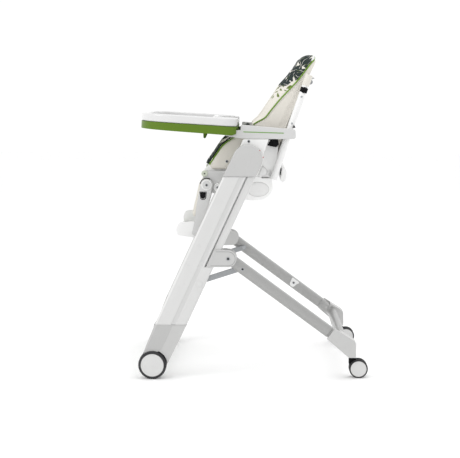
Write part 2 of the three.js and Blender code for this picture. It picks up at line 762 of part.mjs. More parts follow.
// The tray's plan: broad round front corners, and a hollow at the rear for the sitter.
function trayOutline(inset = 0) {
  const half = TRAY.half - inset;
  const front = TRAY.front + inset;
  const rear = TRAY.rear - inset;
  const horn = 138 + inset;
  const hollow = 78 - inset;
  return [
    [-half, front, 135 - inset], [half, front, 135 - inset], [half, rear, 52 - inset / 2], [horn, rear, 30],
    [horn - 34, hollow, 44], [34 - horn, hollow, 44], [-horn, rear, 30], [-half, rear, 52 - inset / 2],
  ];
}

// The base is hollow underneath, and open at the rear where the armrests slide in.
function trayBase() {
  const under = -TRAY.base;
  const armDoor = (sign) => {
    const x0 = sign > 0 ? ARM.inner - 4 : -ARM.outer - 4;
    return upward([[x0, 40], [x0 + 36, 40], [x0 + 36, 200], [x0, 200]], under - 1, -5.2);
  };
  const shallowFront = [[-180, -23], [110, under], [134, under], [152, -19], [160, -19], [160, -40], [-180, -40]];
  return cut(
    upward(trayOutline(), under, 0, 8),
    upward(trayOutline(TRAY.wall), under - 1, -5, 8),
    across(shallowFront, -300, 300),
    armDoor(1),
    armDoor(-1),
  );
}

function trayTop() {
  return cut(upward(trayOutline(), GAP, TRAY.rim, 8), upward(trayOutline(16), 6, TRAY.rim + 1, 8));
}

function trayLever() {
  return across([[30, -9, 3], [46, -9, 3], [44, -40, 3], [39, -52, 5], [33, -50, 5]], -26, 26);
}

add("tray_base", trayBase(), GREEN, tray);
add("tray_top", trayTop(), TRAY_WHITE, tray);
add("tray_lever", trayLever(), GREEN, tray);

chair.position.y = -MIDDLE_Y;

export default chair;
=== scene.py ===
"""Looks for a folding high chair: bevelled mouldings, padded covers, straps, wheels and a studio."""

import json
import math

import bmesh
import bpy
import numpy as np
from mathutils import Matrix, Vector
from mathutils.bvhtree import BVHTree
from mathutils.kdtree import KDTree


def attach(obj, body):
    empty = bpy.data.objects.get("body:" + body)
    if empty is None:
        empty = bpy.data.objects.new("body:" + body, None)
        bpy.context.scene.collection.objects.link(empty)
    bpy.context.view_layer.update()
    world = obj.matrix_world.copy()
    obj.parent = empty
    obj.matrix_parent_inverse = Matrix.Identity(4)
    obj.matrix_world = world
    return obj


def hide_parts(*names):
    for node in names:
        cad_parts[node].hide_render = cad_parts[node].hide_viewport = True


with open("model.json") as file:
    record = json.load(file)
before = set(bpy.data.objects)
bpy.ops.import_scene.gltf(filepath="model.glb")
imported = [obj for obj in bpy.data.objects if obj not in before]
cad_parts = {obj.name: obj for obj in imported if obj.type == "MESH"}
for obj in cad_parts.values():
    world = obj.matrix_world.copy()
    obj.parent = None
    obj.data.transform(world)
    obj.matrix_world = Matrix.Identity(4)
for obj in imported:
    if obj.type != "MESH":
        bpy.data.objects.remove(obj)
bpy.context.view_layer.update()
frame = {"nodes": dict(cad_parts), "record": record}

bl_info = {
    "name": "High Chair",
    "version": (1, 0, 0),
    "blender": (4, 5, 0),
    "location": "View3D > Sidebar > High Chair",
    "description": "Builds the visible pieces of a folding high chair around its packed frame",
    "category": "Add Mesh",
}

RECORD = frame["record"]
BODY_OF = {n: b for b, ns in RECORD["behaviour"]["bodies"].items() for n in ns}
SLOT_OF = {s["node"]: s["material_slot"] for s in RECORD["subparts"]}
SIDES = (("left", 1), ("right", -1))
SLOT_OF_FINISH = {
    "leg": "white", "joint": "white", "groove": "white", "facet": "pale_grey", "bright": "pale_grey",
    "pale_green": "pale_grey", "zinc": "steel", "bolt": "steel", "stripe": "green", "seat_print": "cover",
    "piping": "cover",
}

AXLE_TO_MIDDLE = 324.75  # mm; side views below count y from the front axle
WHEEL_RADIUS = 45.5

# Places in the side view, as (y, z).
PIVOT = (244, 391)  # the rear leg's, on its bracket
STRUT_HEAD = (290, 356)
STRUT_FOOT = (151, 311)
RECLINE = (380, 653)
LEGREST_HINGE = (173, 620)
HINGE_BOSS = (208, 611)
HINGE_SPOT = (166, 656)
HOUSING_EYE = (339, 603)
TRAY = (125, 816.6)

REAR_LEAN = math.radians(36.4)
BACK_LEAN = math.radians(19.5)
LEG_LEAN = math.radians(24.8)
TRAY_TILT = math.radians(3.5)
TRAY_UP = (0, math.sin(TRAY_TILT), math.cos(TRAY_TILT))

# Heights where a leg meets its foot and its cap, and distances from the middle of the chair.
FOOT_JOINT = 176
CAP_JOINT = 652
REAR_TUBE_X = 266
BACK_TUBE_X = 192
BACK_TUBE_FORWARD = -8.5
CASTER_X = 254
WEBBING_THICK = 1.6


# ---- Places ----


def at(x, y, z):
    """A point in metres, from millimetres counted from the floor under the front axle."""
    return Vector((x, y - AXLE_TO_MIDDLE, z)) / 1000


def side_view(point):
    """A point's (y, z) in millimetres: the other way round from at."""
    return point.y * 1000 + AXLE_TO_MIDDLE, point.z * 1000


def on_back(x, up, forward):
    """A point in the backrest's own frame: up its slope, and forward of its recline pivot."""
    s, c = math.sin(BACK_LEAN), math.cos(BACK_LEAN)
    return at(x, RECLINE[0] + up * s - forward * c, RECLINE[1] + up * c + forward * s)


def on_rear_leg(x, along, above):
    s, c = math.sin(REAR_LEAN), math.cos(REAR_LEAN)
    return at(x, PIVOT[0] + along * c + above * s, PIVOT[1] - along * s + above * c)


def on_tray(x, y, z):
    s, c = math.sin(TRAY_TILT), math.cos(TRAY_TILT)
    return at(x, TRAY[0] + y * c + z * s, TRAY[1] - y * s + z * c)


def on_leg(x, z, behind):
    """A point on a main leg at height z, that far behind the leg's axis."""
    return at(x, (z - WHEEL_RADIUS) * math.tan(LEG_LEAN) + behind / math.cos(LEG_LEAN), z)


def arc(centre, across, high=None, start=0, end=360, steps=36):
    """Points along an oval, or a part of it, with both its ends."""
    turn = np.radians(np.linspace(start, end, steps + 1))
    return [(centre[0] + across * math.cos(t), centre[1] + (high or across) * math.sin(t)) for t in turn]


def mirrored(half):
    """Half a line that ends in the middle of the chair, and the same line back along the other side."""
    return half + [Vector((-p.x, p.y, p.z)) for p in half[-2::-1]]


# ---- Materials ----


class Finish:
    """A material in the making: a Principled shader and the nodes that feed it."""

    def __init__(self, name, roughness=0.5, metallic=0.0, **settings):
        self.material = bpy.data.materials.new(name)
        self.material.use_nodes = True
        self.tree = self.material.node_tree
        self.shader = self.tree.nodes["Principled BSDF"]
        self.shader.inputs["Roughness"].default_value = roughness
        self.shader.inputs["Metallic"].default_value = metallic
        for label, value in settings.items():
            self.shader.inputs[label.replace("_", " ").title().replace("Ior", "IOR")].default_value = value
        coordinates = self.node("ShaderNodeTexCoord").outputs
        self.place, self.normal = coordinates["Object"], coordinates["Normal"]

    def node(self, kind, values=None, **settings):
        made = self.tree.nodes.new(kind)
        for key, value in settings.items():
            setattr(made, key, value)
        for key, value in (values or {}).items():
            if isinstance(value, bpy.types.NodeSocket):
                self.tree.links.new(value, made.inputs[key])
            else:
                made.inputs[key].default_value = value
        return made

    def maths(self, operation, a, b=0.0):
        return self.node("ShaderNodeMath", {0: a, 1: b}, operation=operation).outputs[0]

    def noise(self, scale, detail=3.0, place=None):
        values = {"Vector": place or self.place, "Scale": scale, "Detail": detail}
        return self.node("ShaderNodeTexNoise", values).outputs["Fac"]

    def cells(self, scale, place=None, feature="F1"):
        values = {"Vector": place or self.place, "Scale": scale}
        return self.node("ShaderNodeTexVoronoi", values, feature=feature)

    def band(self, value, low, high, to_low=0.0, to_high=1.0):
        values = {0: value, 1: low, 2: high, 3: to_low, 4: to_high}
        return self.node("ShaderNodeMapRange", values).outputs[0]

    def mix(self, factor, a, b):
        made = self.node("ShaderNodeMix", data_type="RGBA")
        for socket, value in ((made.inputs[0], factor), (made.inputs[6], a), (made.inputs[7], b)):
            if isinstance(value, bpy.types.NodeSocket):
                self.tree.links.new(value, socket)
            elif socket == made.inputs[0]:
                socket.default_value = value
            else:
                socket.default_value = (*value[:3], 1)
        return made.outputs[2]

    def colour(self, value):
        self.tree.links.new(value, self.shader.inputs["Base Color"])

    def roughness(self, value):
        self.tree.links.new(value, self.shader.inputs["Roughness"])

    def bump(self, height, strength, distance):
        values = {"Height": height, "Strength": strength, "Distance": distance}
        made = self.node("ShaderNodeBump", values).outputs[0]
        self.tree.links.new(made, self.shader.inputs["Normal"])


def scaled(colour, factor):
    return tuple(min(1, c * factor) for c in colour[:3])


def moulded(name, colour, roughness=0.35, grain=0.12, **settings):
    """Moulded plastic: a slightly uneven tone, a fine spark-eroded grain, and faint scuffs."""
    f = Finish(name, roughness, **settings)
    cloudy = f.noise(9, 4)
    scuffs = f.band(f.noise(60, 6), 0.62, 0.72)
    toned = f.mix(cloudy, scaled(colour, 0.95), scaled(colour, 1.04))
    f.colour(f.mix(f.maths("MULTIPLY", scuffs, 0.25), toned, scaled(colour, 0.86)))
    f.roughness(f.band(f.noise(35, 5), 0.3, 0.7, roughness - 0.05, roughness + 0.07))
    f.bump(f.noise(1400, 2), grain, 0.00015)
    return f.material


def lacquered_tube(colour):
    """Silver lacquer over steel, with its fine flakes."""
    f = Finish("silver_lacquer", 0.38, 0.55, coat_weight=0.3, coat_roughness=0.15)
    flakes = f.cells(2600).outputs["Color"]
    grey = f.node("ShaderNodeSeparateColor", {0: flakes}).outputs[0]
    f.colour(f.mix(grey, scaled(colour, 0.86), scaled(colour, 1.12)))
    f.roughness(f.band(f.noise(40, 4), 0.3, 0.7, 0.33, 0.45))
    f.bump(f.noise(900, 2), 0.08, 0.0001)
    return f.material


def brushed(name, colour, along):
    """Plain steel, drawn along one axis."""
    f = Finish(name, 0.32, 0.95)
    stretched = [900, 900, 900]
    stretched[along] = 18
    place = f.node("ShaderNodeMapping", {"Vector": f.place, "Scale": stretched}).outputs[0]
    lines = f.noise(1, 2, place)
    f.colour(f.mix(lines, scaled(colour, 0.8), scaled(colour, 1.15)))
    f.roughness(f.band(lines, 0.2, 0.8, 0.24, 0.42))
    f.bump(lines, 0.1, 0.0001)
    return f.material


def tyre_rubber(colour):
    f = Finish("tyre_rubber", 0.75)
    dust = f.band(f.noise(45, 6), 0.45, 0.75)
    f.colour(f.mix(dust, colour, scaled(colour, 2.2)))
    f.roughness(f.band(f.noise(120, 3), 0.3, 0.7, 0.66, 0.85))
    f.bump(f.noise(1800, 3), 0.25, 0.0003)
    return f.material


def grained(f, strength=0.09):
    """Fine leather-like pebble grain with soft creases."""
    pebbles = f.cells(950, f.place, "SMOOTH_F1").outputs["Distance"]
    creases = f.noise(26, 5)
    height = f.maths("ADD", pebbles, f.maths("MULTIPLY", creases, 2.2))
    f.bump(height, strength, 0.0004)
    return pebbles


def leatherette(name, colour):
    """Wipe-clean cover material."""
    f = Finish(name, 0.5, sheen_weight=0.15, sheen_roughness=0.4, coat_weight=0.05)
    pebbles = grained(f)
    toned = f.mix(f.noise(7, 4), scaled(colour, 0.95), scaled(colour, 1.03))
    f.colour(f.mix(f.band(pebbles, 0.2, 0.7, 0.0, 0.3), toned, scaled(colour, 0.88)))
    f.roughness(f.band(f.noise(30, 4), 0.3, 0.7, 0.44, 0.58))
    return f.material


def leaf_layer(f, scale, length, width, seed):
    """A mask of pointed leaves, one in each cell of a loose grid, laid flat on the surface."""
    def vector(operation, a, b=None, out=0):
        values = {0: a} if b is None else {0: a, 1: b}
        return f.node("ShaderNodeVectorMath", values, operation=operation).outputs[out]

    def flat(v):
        tall = vector("DOT_PRODUCT", v, f.normal, "Value")
        lift = f.node("ShaderNodeVectorMath", {0: f.normal, "Scale": tall}, operation="SCALE").outputs[0]
        return vector("SUBTRACT", v, lift)

    moved = f.node("ShaderNodeMapping", {"Vector": f.place, "Location": seed}).outputs[0]
    cells = f.cells(scale, moved)
    cells.inputs["Randomness"].default_value = 0.8
    local = flat(vector("SUBTRACT", moved, cells.outputs["Position"]))
    turned = vector("SUBTRACT", cells.outputs["Color"], (0.5, 0.5, 0.5))
    unit = vector("NORMALIZE", flat(turned))
    along = vector("DOT_PRODUCT", local, unit, "Value")
    size = vector("LENGTH", local, None, "Value")
    along2 = f.maths("MULTIPLY", along, along)
    out = f.maths(
        "SQRT", f.maths("MAXIMUM", f.maths("SUBTRACT", f.maths("MULTIPLY", size, size), along2), 0.0)
    )
    reach = f.maths("SUBTRACT", 1.0, f.maths("DIVIDE", along2, length * length))
    edge = f.maths("SUBTRACT", f.maths("MULTIPLY", reach, width), out)
    return f.band(edge, -0.0004, 0.0004), f.band(out, 0.0003, 0.0007)


def printed_leatherette(name, colour, dark, accent, low, high):
    """The cover's inside: long leaves above a slanting, ragged line, and small ones just below it."""
    f = Finish(name, 0.48, specular_ior_level=0.3)
    grained(f)
    leaves = 0.0
    seeds = (
        (0.2, 0.1, 0.42), (0.75, 0.3, 0.9), (1.3, 0.8, 0.15), (2.1, 1.7, 0.6), (0.9, 2.3, 0.3),
        (2.6, 0.5, 1.9)
    )
    for k, seed in enumerate(seeds):
        mask, blade = leaf_layer(f, 14, 0.036, 0.0155 - 0.001 * k, seed)
        vein = f.maths("MULTIPLY", mask, f.maths("SUBTRACT", 1.0, blade))
        beneath = f.maths("MULTIPLY", leaves, f.maths("SUBTRACT", 1.0, vein))
        leaves = f.maths("MAXIMUM", beneath, f.maths("MULTIPLY", mask, blade))
    small, _ = leaf_layer(f, 34, 0.013, 0.0042, (0.5, 0.9, 0.2))
    place = f.node("ShaderNodeSeparateXYZ", {0: f.place})
    slanted = f.maths("SUBTRACT", place.outputs["Z"], f.maths("MULTIPLY", place.outputs["Y"], 0.4))
    ragged = f.maths("ADD", slanted, f.maths("MULTIPLY", f.maths("SUBTRACT", f.noise(22, 3), 0.5), 0.04))
    dense = f.band(ragged, low, high)
    sparse = f.band(ragged, low - 0.03, low - 0.025)
    toned = f.mix(f.noise(7, 4), scaled(colour, 0.95), scaled(colour, 1.03))
    speckled = f.mix(f.maths("MULTIPLY", small, sparse), toned, accent)
    ink = f.mix(f.noise(70, 3), dark, scaled(dark, 2.6))
    f.colour(f.mix(f.maths("MULTIPLY", leaves, dense), speckled, ink))
    f.roughness(f.band(f.noise(30, 4), 0.3, 0.7, 0.42, 0.56))
    return f.material


def woven(name, colour, pitch=900):
    """Webbing or cord: two crossing ribs of yarn."""
    f = Finish(name, 0.85, specular_ior_level=0.2)
    across = f.node(
        "ShaderNodeTexWave", {"Vector": f.place, "Scale": pitch / 20, "Distortion": 0.6},
        bands_direction="X"
    )
    down = f.node(
        "ShaderNodeTexWave", {"Vector": f.place, "Scale": pitch / 20, "Distortion": 0.6},
        bands_direction="Z"
    )
    weave = f.maths("MULTIPLY", across.outputs["Fac"], down.outputs["Fac"])
    f.colour(f.mix(weave, scaled(colour, 0.7), scaled(colour, 1.5)))
    f.bump(weave, 0.4, 0.0004)
    return f.material


MATERIALS = {}


def mix_finishes(settings):
    """Makes every material once, from the colours in the settings."""
    s = settings
    MATERIALS.update(
        white=moulded("white_moulding", s.white, 0.34, coat_weight=0.1),
        pale_grey=moulded("pale_grey_moulding", s.pale_grey, 0.36),
        tray_white=moulded("tray_gloss", s.tray_white, 0.12, 0.03, coat_weight=0.6, coat_roughness=0.05),
        green=moulded("green_moulding", s.green, 0.36, specular_ior_level=0.22),
        stripe=moulded("stripe_green", s.stripe, 0.4),
        silver=lacquered_tube(s.silver),
        steel=brushed("drawn_steel", s.steel, 0),
        zinc=brushed("zinc_fastener", scaled(s.steel, 1.3), 1),
        black=moulded("black_moulding", s.black, 0.6, 0.25, specular_ior_level=0.1),
        # A lighter copy of the white, for the seat shell, mechanism housing and hinge bosses: painted light
        # on parts in shade.
        bright=moulded("bright_painted_light", scaled(s.white, 1.13), 0.34, coat_weight=0.1),
        # A lighter copy of the leg white: a painted highlight along the legs' rounded front edges.
        leg_edge=moulded("leg_edge_painted_highlight", scaled(s.leg_white, 1.14), 0.3, coat_weight=0.15),
        # A darker copy of the leg white: painted shade in the legs' groove and in the seam round the
        # housing cover.
        groove=moulded("groove_painted_shade", scaled(s.leg_white, 0.92), 0.4),
        # A darker copy of the pale grey: painted shade on the feet's front facets.
        facet=moulded("shaded_foot_facet", scaled(s.pale_grey, 0.9), 0.36),
        # A near-black copy of the leg white: a painted shadow line along the rear brackets' edges.
        joint=moulded("painted_shadow_line", scaled(s.leg_white, 0.3), 0.6),
        bolt=brushed("dark_bolt", scaled(s.steel, 0.16), 1),
        red=moulded("red_moulding", s.red, 0.4),
        tyre=tyre_rubber(s.tyre),
        caster=tyre_rubber(scaled(s.tyre, 0.8)),
        cover=leatherette("cream_leatherette", s.cover),
        leg=moulded("leg_moulding", s.leg_white, 0.34, coat_weight=0.1),
        # A darker copy of the white, for the armrests and leg rest housings: painted shade.
        armrest=moulded("armrest_painted_shade", scaled(s.white, 0.72), 0.34, coat_weight=0.1),
        pale_green=moulded("pale_green_moulding", s.pale_green, 0.4),
        print=printed_leatherette(
            "leaf_print_leatherette", s.cover, s.print_dark, s.print_accent, 0.903, 0.907
        ),
        seat_print=printed_leatherette(
            "seat_leaf_print", s.cover, s.print_dark, s.print_accent, 0.1, 0.101
        ),
        piping=woven("green_piping", s.piping, 1600),
        thread=woven("cream_thread", scaled(s.cover, 0.95), 2500),
        webbing=woven("black_webbing", s.webbing),
    )


# ---- Mesh making ----


def added(name, data):
    """A new object at the origin."""
    made = bpy.data.objects.new(name, data)
    bpy.context.scene.collection.objects.link(made)
    return made


def new_piece(name, mesh, material, body, stands_for=(), slot=None):
    """Puts a finished mesh on its body. A piece's slot is its finish's own, unless another is given."""
    piece = added(name, mesh)
    mesh.materials.clear()
    mesh.materials.append(MATERIALS[material])
    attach(piece, body)
    slot or SLOT_OF_FINISH.get(material, material)
    if stands_for:
        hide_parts(*stands_for)
    return piece


def mesh_of(bm, name):
    mesh = bpy.data.meshes.new(name)
    bm.to_mesh(mesh)
    bm.free()
    return mesh


def finished_mesh(bm, name, smooth_angle=35):
    mesh = mesh_of(bm, name)
    mesh.shade_smooth()
    mesh.set_sharp_from_angle(angle=math.radians(smooth_angle))
    return mesh


def applied(piece):
    """Turns a piece's modifiers into its mesh."""
    graph = bpy.context.evaluated_depsgraph_get()
    mesh = bpy.data.meshes.new_from_object(piece.evaluated_get(graph))
    old = piece.data
    piece.modifiers.clear()
    piece.data = mesh
    bpy.data.meshes.remove(old)
    return mesh


def bevelled(mesh, width, segments=2, angle=32):
    """Rounds a mesh's sharp edges by width, in millimetres."""
    bench = added("bench", mesh)
    bevel = bench.modifiers.new("Round", "BEVEL")
    bevel.width = width / 1000
    bevel.segments = segments
    bevel.limit_method = "ANGLE"
    bevel.angle_limit = math.radians(angle)
    bevel.miter_outer = "MITER_ARC"
    smooth = bench.modifiers.new("Normals", "WEIGHTED_NORMAL")
    smooth.keep_sharp = False
    mesh.shade_smooth()
    mesh = applied(bench)
    bpy.data.objects.remove(bench)
    return mesh


def node_form(node):
    """A CAD node's mesh as a bmesh, with its corners joined."""
    bm = bmesh.new()
    bm.from_mesh(frame["nodes"][node].data)
    bmesh.ops.remove_doubles(bm, verts=bm.verts, dist=2e-5)
    return bm


def rounded_copy(node, width=1.5, segments=2, material=None, angle=32, tones=()):
    """The visible form of a moulded CAD node: the same shape with its edges rounded.

    Each of tones is a material and a test that picks the faces it goes on."""
    bm = node_form(node)
    bmesh.ops.dissolve_limit(bm, angle_limit=math.radians(0.8), verts=bm.verts, edges=bm.edges)
    name, slot = node + "_moulding", SLOT_OF[node]
    mesh = bevelled(mesh_of(bm, name), width, segments, angle)
    piece = new_piece(name, mesh, material or slot, BODY_OF[node], (node,), slot)
    for k, (tone, picks) in enumerate(tones, 1):
        mesh.materials.append(MATERIALS[tone])
        for face in mesh.polygons:
            if picks(face.center):
                face.material_index = k
    return piece


def dress(node):
    """Gives a CAD node that stays visible its finish."""
    mesh = frame["nodes"][node].data
    mesh.materials.clear()
    mesh.materials.append(MATERIALS[SLOT_OF[node]])


def skinned(bm, rings, closed_ends=True, split_ends=False):
    """Joins rings of vertices, all of one length, into a skin, and closes its two ends."""
    count = len(rings[0])
    for a, b in zip(rings, rings[1:]):
        for k in range(count):
            m = (k + 1) % count
            bm.faces.new((a[k], a[m], b[m], b[k]))
    if closed_ends:
        bm.faces.new(rings[0][::-1])
        bm.faces.new(rings[-1])
    if split_ends:
        # The ends are cut up before the normals turn, because the cut depends on them.
        bmesh.ops.triangulate(bm, faces=[f for f in bm.faces if len(f.verts) > 4])
    bmesh.ops.recalc_face_normals(bm, faces=bm.faces)


def plate(name, outline, x0, x1, material, body, width=0.8, segments=2, place=at):
    """A flat piece from a side-view outline, between two distances from the middle, edges rounded."""
    bm = bmesh.new()
    skinned(bm, [[bm.verts.new(place(x, *p)) for p in outline] for x in (x0, x1)])
    return new_piece(name, bevelled(mesh_of(bm, name), width, segments), material, body)


def spun(name, profile, centre, material, body, steps, stands_for=(), slot=None):
    """A piece turned about an axis along X. The profile is [radius, x], in millimetres."""
    bm = bmesh.new()
    rings = []
    for r, x in profile:
        if r == 0:
            rings.append([bm.verts.new(centre + Vector((x / 1000, 0, 0)))])
            continue
        rim = arc((0, 0), r, steps=steps)[:-1]
        rings.append([bm.verts.new(centre + Vector((x, *p)) / 1000) for p in rim])
    for a, b in zip(rings, rings[1:]):
        for k in range(steps):
            m = (k + 1) % steps
            corners = [a[k % len(a)], a[m % len(a)], b[m % len(b)], b[k % len(b)]]
            corners = [v for i, v in enumerate(corners) if v not in corners[:i]]
            if len(corners) > 2:
                bm.faces.new(corners)
    bmesh.ops.remove_doubles(bm, verts=bm.verts, dist=1e-6)
    bmesh.ops.recalc_face_normals(bm, faces=bm.faces)
    return new_piece(name, finished_mesh(bm, name), material, body, stands_for, slot)


def disc(name, y, z, r, x0, x1, material, body, lip, dish=0.0, slot=None):
    """A round cap that stands out from x0 to x1, with a rounded lip and perhaps a dished face."""
    d = 1 if x1 > x0 else -1
    edge = [(r, x0), (r, x1 - d * lip), (r - lip * 0.3, x1 - d * lip * 0.3), (r - lip, x1)]
    face = [(r - lip * 2.2, x1), (r - lip * 3, x1 - d * dish), (0, x1 - d * dish)]
    return spun(name, [(0, x0), *edge, *face], at(0, y, z), material, body, 40, slot=slot)


def bolted(name, y, z, r, x0, x1, body):
    """A dark bolt head in a bright washer."""
    d = 1 if x1 > x0 else -1
    disc(f"{name}_washer", y, z, r, x0, x1 - d * 0.8, "zinc", body, 0.6)
    disc(name, y, z, r * 0.62, x1 - d * 1.4, x1, "bolt", body, 0.5, 0.7)


def curve_points(points, per_span=8):
    """A smooth line through the points."""
    pts = [Vector(p) for p in points]
    ends = [pts[0] * 2 - pts[1], *pts, pts[-1] * 2 - pts[-2]]
    line = []
    for p0, p1, p2, p3 in zip(ends, ends[1:], ends[2:], ends[3:]):
        for k in range(per_span):
            t = k / per_span
            line.append(
                0.5 * (2 * p1 + (p2 - p0) * t + (2 * p0 - 5 * p1 + 4 * p2 - p3) * t * t
                       + (3 * p1 - p0 - 3 * p2 + p3) * t ** 3)
            )
    return [*line, pts[-1]]


def headings(path):
    """Each point of a path, with the way that the path runs there."""
    last = len(path) - 1
    for i, p in enumerate(path):
        yield p, (path[min(i + 1, last)] - path[max(i - 1, 0)]).normalized()


def swept(name, path, size, material, body, sides, up=(1, 0, 0), stands_for=(), closed_ends=True):
    """An oval tube along a path. Its size is (across, high), and up says which way its height runs."""
    bm = bmesh.new()
    section = arc((0, 0), size[0] / 2000, size[1] / 2000, steps=sides)[:-1]
    rings = []
    for p, ahead in headings(path):
        side = ahead.cross(Vector(up)).normalized()
        top = side.cross(ahead)
        rings.append([bm.verts.new(p + side * a + top * b) for a, b in section])
    skinned(bm, rings, closed_ends)
    return new_piece(name, finished_mesh(bm, name, 50), material, body, stands_for)


def ribbon(name, path, width, body, across=(1, 0, 0), stands_for=()):
    """A strap of webbing along a path, with its width along one direction and rounded edges."""
    bm = bmesh.new()
    side = Vector(across)
    w, t = width / 2000, WEBBING_THICK / 2000
    section = [(-w, -t), (-w + t, -t * 1.4), (w - t, -t * 1.4), (w, -t)]
    section += [(-a, -b) for a, b in section]
    rings = []
    for p, ahead in headings(path):
        normal = side.cross(ahead).normalized()
        rings.append([bm.verts.new(p + side * a + normal * b) for a, b in section])
    skinned(bm, rings)
    return new_piece(name, finished_mesh(bm, name), "webbing", body, stands_for)


# ---- Geometry Nodes ----


def geometry_tree(name, inputs, nodes):
    """A geometry tree with named inputs and nodes, and "given" and "out" for its two ends.

    A node's kind that names no family of nodes is a geometry node."""
    tree = bpy.data.node_groups.new(name, "GeometryNodeTree")
    tree.interface.new_socket("Geometry", in_out="INPUT", socket_type="NodeSocketGeometry")
    tree.interface.new_socket("Geometry", in_out="OUTPUT", socket_type="NodeSocketGeometry")
    for label, kind in inputs.items():
        tree.interface.new_socket(label, in_out="INPUT", socket_type="NodeSocket" + kind)
    made = {"given": tree.nodes.new("NodeGroupInput"), "out": tree.nodes.new("NodeGroupOutput")}
    for label, kind in {**nodes, "real": "RealizeInstances", "finish": "SetMaterial"}.items():
        made[label] = tree.nodes.new(kind if "Node" in kind else "GeometryNode" + kind)
    return tree, made


def wired(tree, made, links):
    """Adds a tree's links. Each line reads: node.Socket > node.Socket."""
    for link in links.strip().splitlines():
        (source, output), (target, socket) = [end.strip().split(".") for end in link.split(">")]
        tree.links.new(made[source].outputs[output], made[target].inputs[socket])
    return tree


def stitch_tree():
    """Short rounded threads, end to end along a line."""
    inputs = {"Pitch": "Float", "Thread Length": "Float", "Thread Radius": "Float", "Thread": "Material"}
    nodes = {
        "line": "MeshToCurve", "spread": "ResampleCurve", "thread": "MeshUVSphere", "shape": "Transform",
        "tangent": "InputTangent", "turn": "FunctionNodeAlignRotationToVector",
        "size": "ShaderNodeCombineXYZ", "copies": "InstanceOnPoints",
    }
    tree, made = geometry_tree("Stitches", inputs, nodes)
    made["spread"].mode = "LENGTH"
    made["turn"].axis = "Z"
    made["thread"].inputs["Segments"].default_value = 6
    made["thread"].inputs["Rings"].default_value = 4
    return wired(tree, made, """
        given.Geometry > line.Mesh
        line.Curve > spread.Curve
        given.Pitch > spread.Length
        given.Thread Radius > size.X
        given.Thread Radius > size.Y
        given.Thread Length > size.Z
        thread.Mesh > shape.Geometry
        size.Vector > shape.Scale
        tangent.Tangent > turn.Vector
        spread.Curve > copies.Points
        shape.Geometry > copies.Instance
        turn.Rotation > copies.Rotation
        copies.Instances > real.Geometry
        real.Geometry > finish.Geometry
        given.Thread > finish.Material
        finish.Geometry > out.Geometry
    """)


def ring_tree():
    """Bars set round a circle about an axis along X: a tyre's tread."""
    inputs = {
        "Count": "Int", "Radius": "Float", "Bar": "Vector", "Slant": "Float", "Centre": "Vector",
        "Finish": "Material",
    }
    nodes = {
        "circle": "MeshCircle", "bar": "MeshCube", "tilt": "Transform", "slant": "ShaderNodeCombineXYZ",
        "turn": "FunctionNodeAlignRotationToVector", "copies": "InstanceOnPoints", "upright": "Transform",
        "place": "Transform", "outward": "InputPosition",
    }
    tree, made = geometry_tree("Bars Round A Circle", inputs, nodes)
    made["turn"].axis = "X"
    made["upright"].inputs["Rotation"].default_value = (0, math.pi / 2, 0)
    return wired(tree, made, """
        given.Count > circle.Vertices
        given.Radius > circle.Radius
        given.Bar > bar.Size
        given.Slant > slant.X
        slant.Vector > tilt.Rotation
        bar.Mesh > tilt.Geometry
        outward.Position > turn.Vector
        circle.Mesh > copies.Points
        tilt.Geometry > copies.Instance
        turn.Rotation > copies.Rotation
        copies.Instances > upright.Geometry
        upright.Geometry > place.Geometry
        given.Centre > place.Translation
        place.Geometry > real.Geometry
        real.Geometry > finish.Geometry
        given.Finish > finish.Material
        finish.Geometry > out.Geometry
    """)


def row_tree():
    """Bars side by side along a line: a grip's ribs."""
    inputs = {"Count": "Int", "Step": "Vector", "Start": "Vector", "Bar": "Vector", "Finish": "Material"}
    nodes = {"line": "MeshLine", "bar": "MeshCube", "copies": "InstanceOnPoints"}
    tree, made = geometry_tree("Bars In A Row", inputs, nodes)
    return wired(tree, made, """
        given.Count > line.Count
        given.Start > line.Start Location
        given.Step > line.Offset
        given.Bar > bar.Size
        line.Mesh > copies.Points
        bar.Mesh > copies.Instance
        copies.Instances > real.Geometry
        real.Geometry > finish.Geometry
        given.Finish > finish.Material
        finish.Geometry > out.Geometry
    """)


TREES = {}


def grown(name, kind, inputs, body, line=()):
    """A plain mesh made by one of the trees, from its named inputs and perhaps a line of points."""
    makers = {"stitches": stitch_tree, "ring": ring_tree, "row": row_tree}
    if kind not in TREES:
        TREES[kind] = makers[kind]()
    tree = TREES[kind]
    mesh = bpy.data.meshes.new(name)
    mesh.from_pydata([tuple(p) for p in line], [(i, i + 1) for i in range(len(line) - 1)], [])
    piece = added(name, mesh)
    modifier = piece.modifiers.new(kind, "NODES")
    modifier.node_group = tree
    sockets = {s.name: s.identifier for s in tree.interface.items_tree if s.in_out == "INPUT"}
    for label, value in inputs.items():
        modifier[sockets[label]] = value
    applied(piece)
    piece.data.shade_smooth()
    piece.data.set_sharp_from_angle(angle=math.radians(40))
    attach(piece, body)
    return piece


def stitched(name, line, body, pitch):
    """A row of stitches along a line, with the pitch in millimetres."""
    inputs = {
        "Pitch": pitch / 1000, "Thread Length": 0.0013, "Thread Radius": 0.00045,
        "Thread": MATERIALS["thread"],
    }
    return grown(name, "stitches", inputs, body, line)


# ---- Padding ----

PAD_VOXEL = 0.0045
PAD_FRAMES = 16
PAD_CLOTH = {
    "use_pressure": True, "uniform_pressure_force": 4.0, "quality": 4, "mass": 0.3,
    "tension_stiffness": 12, "bending_stiffness": 0.3,
}


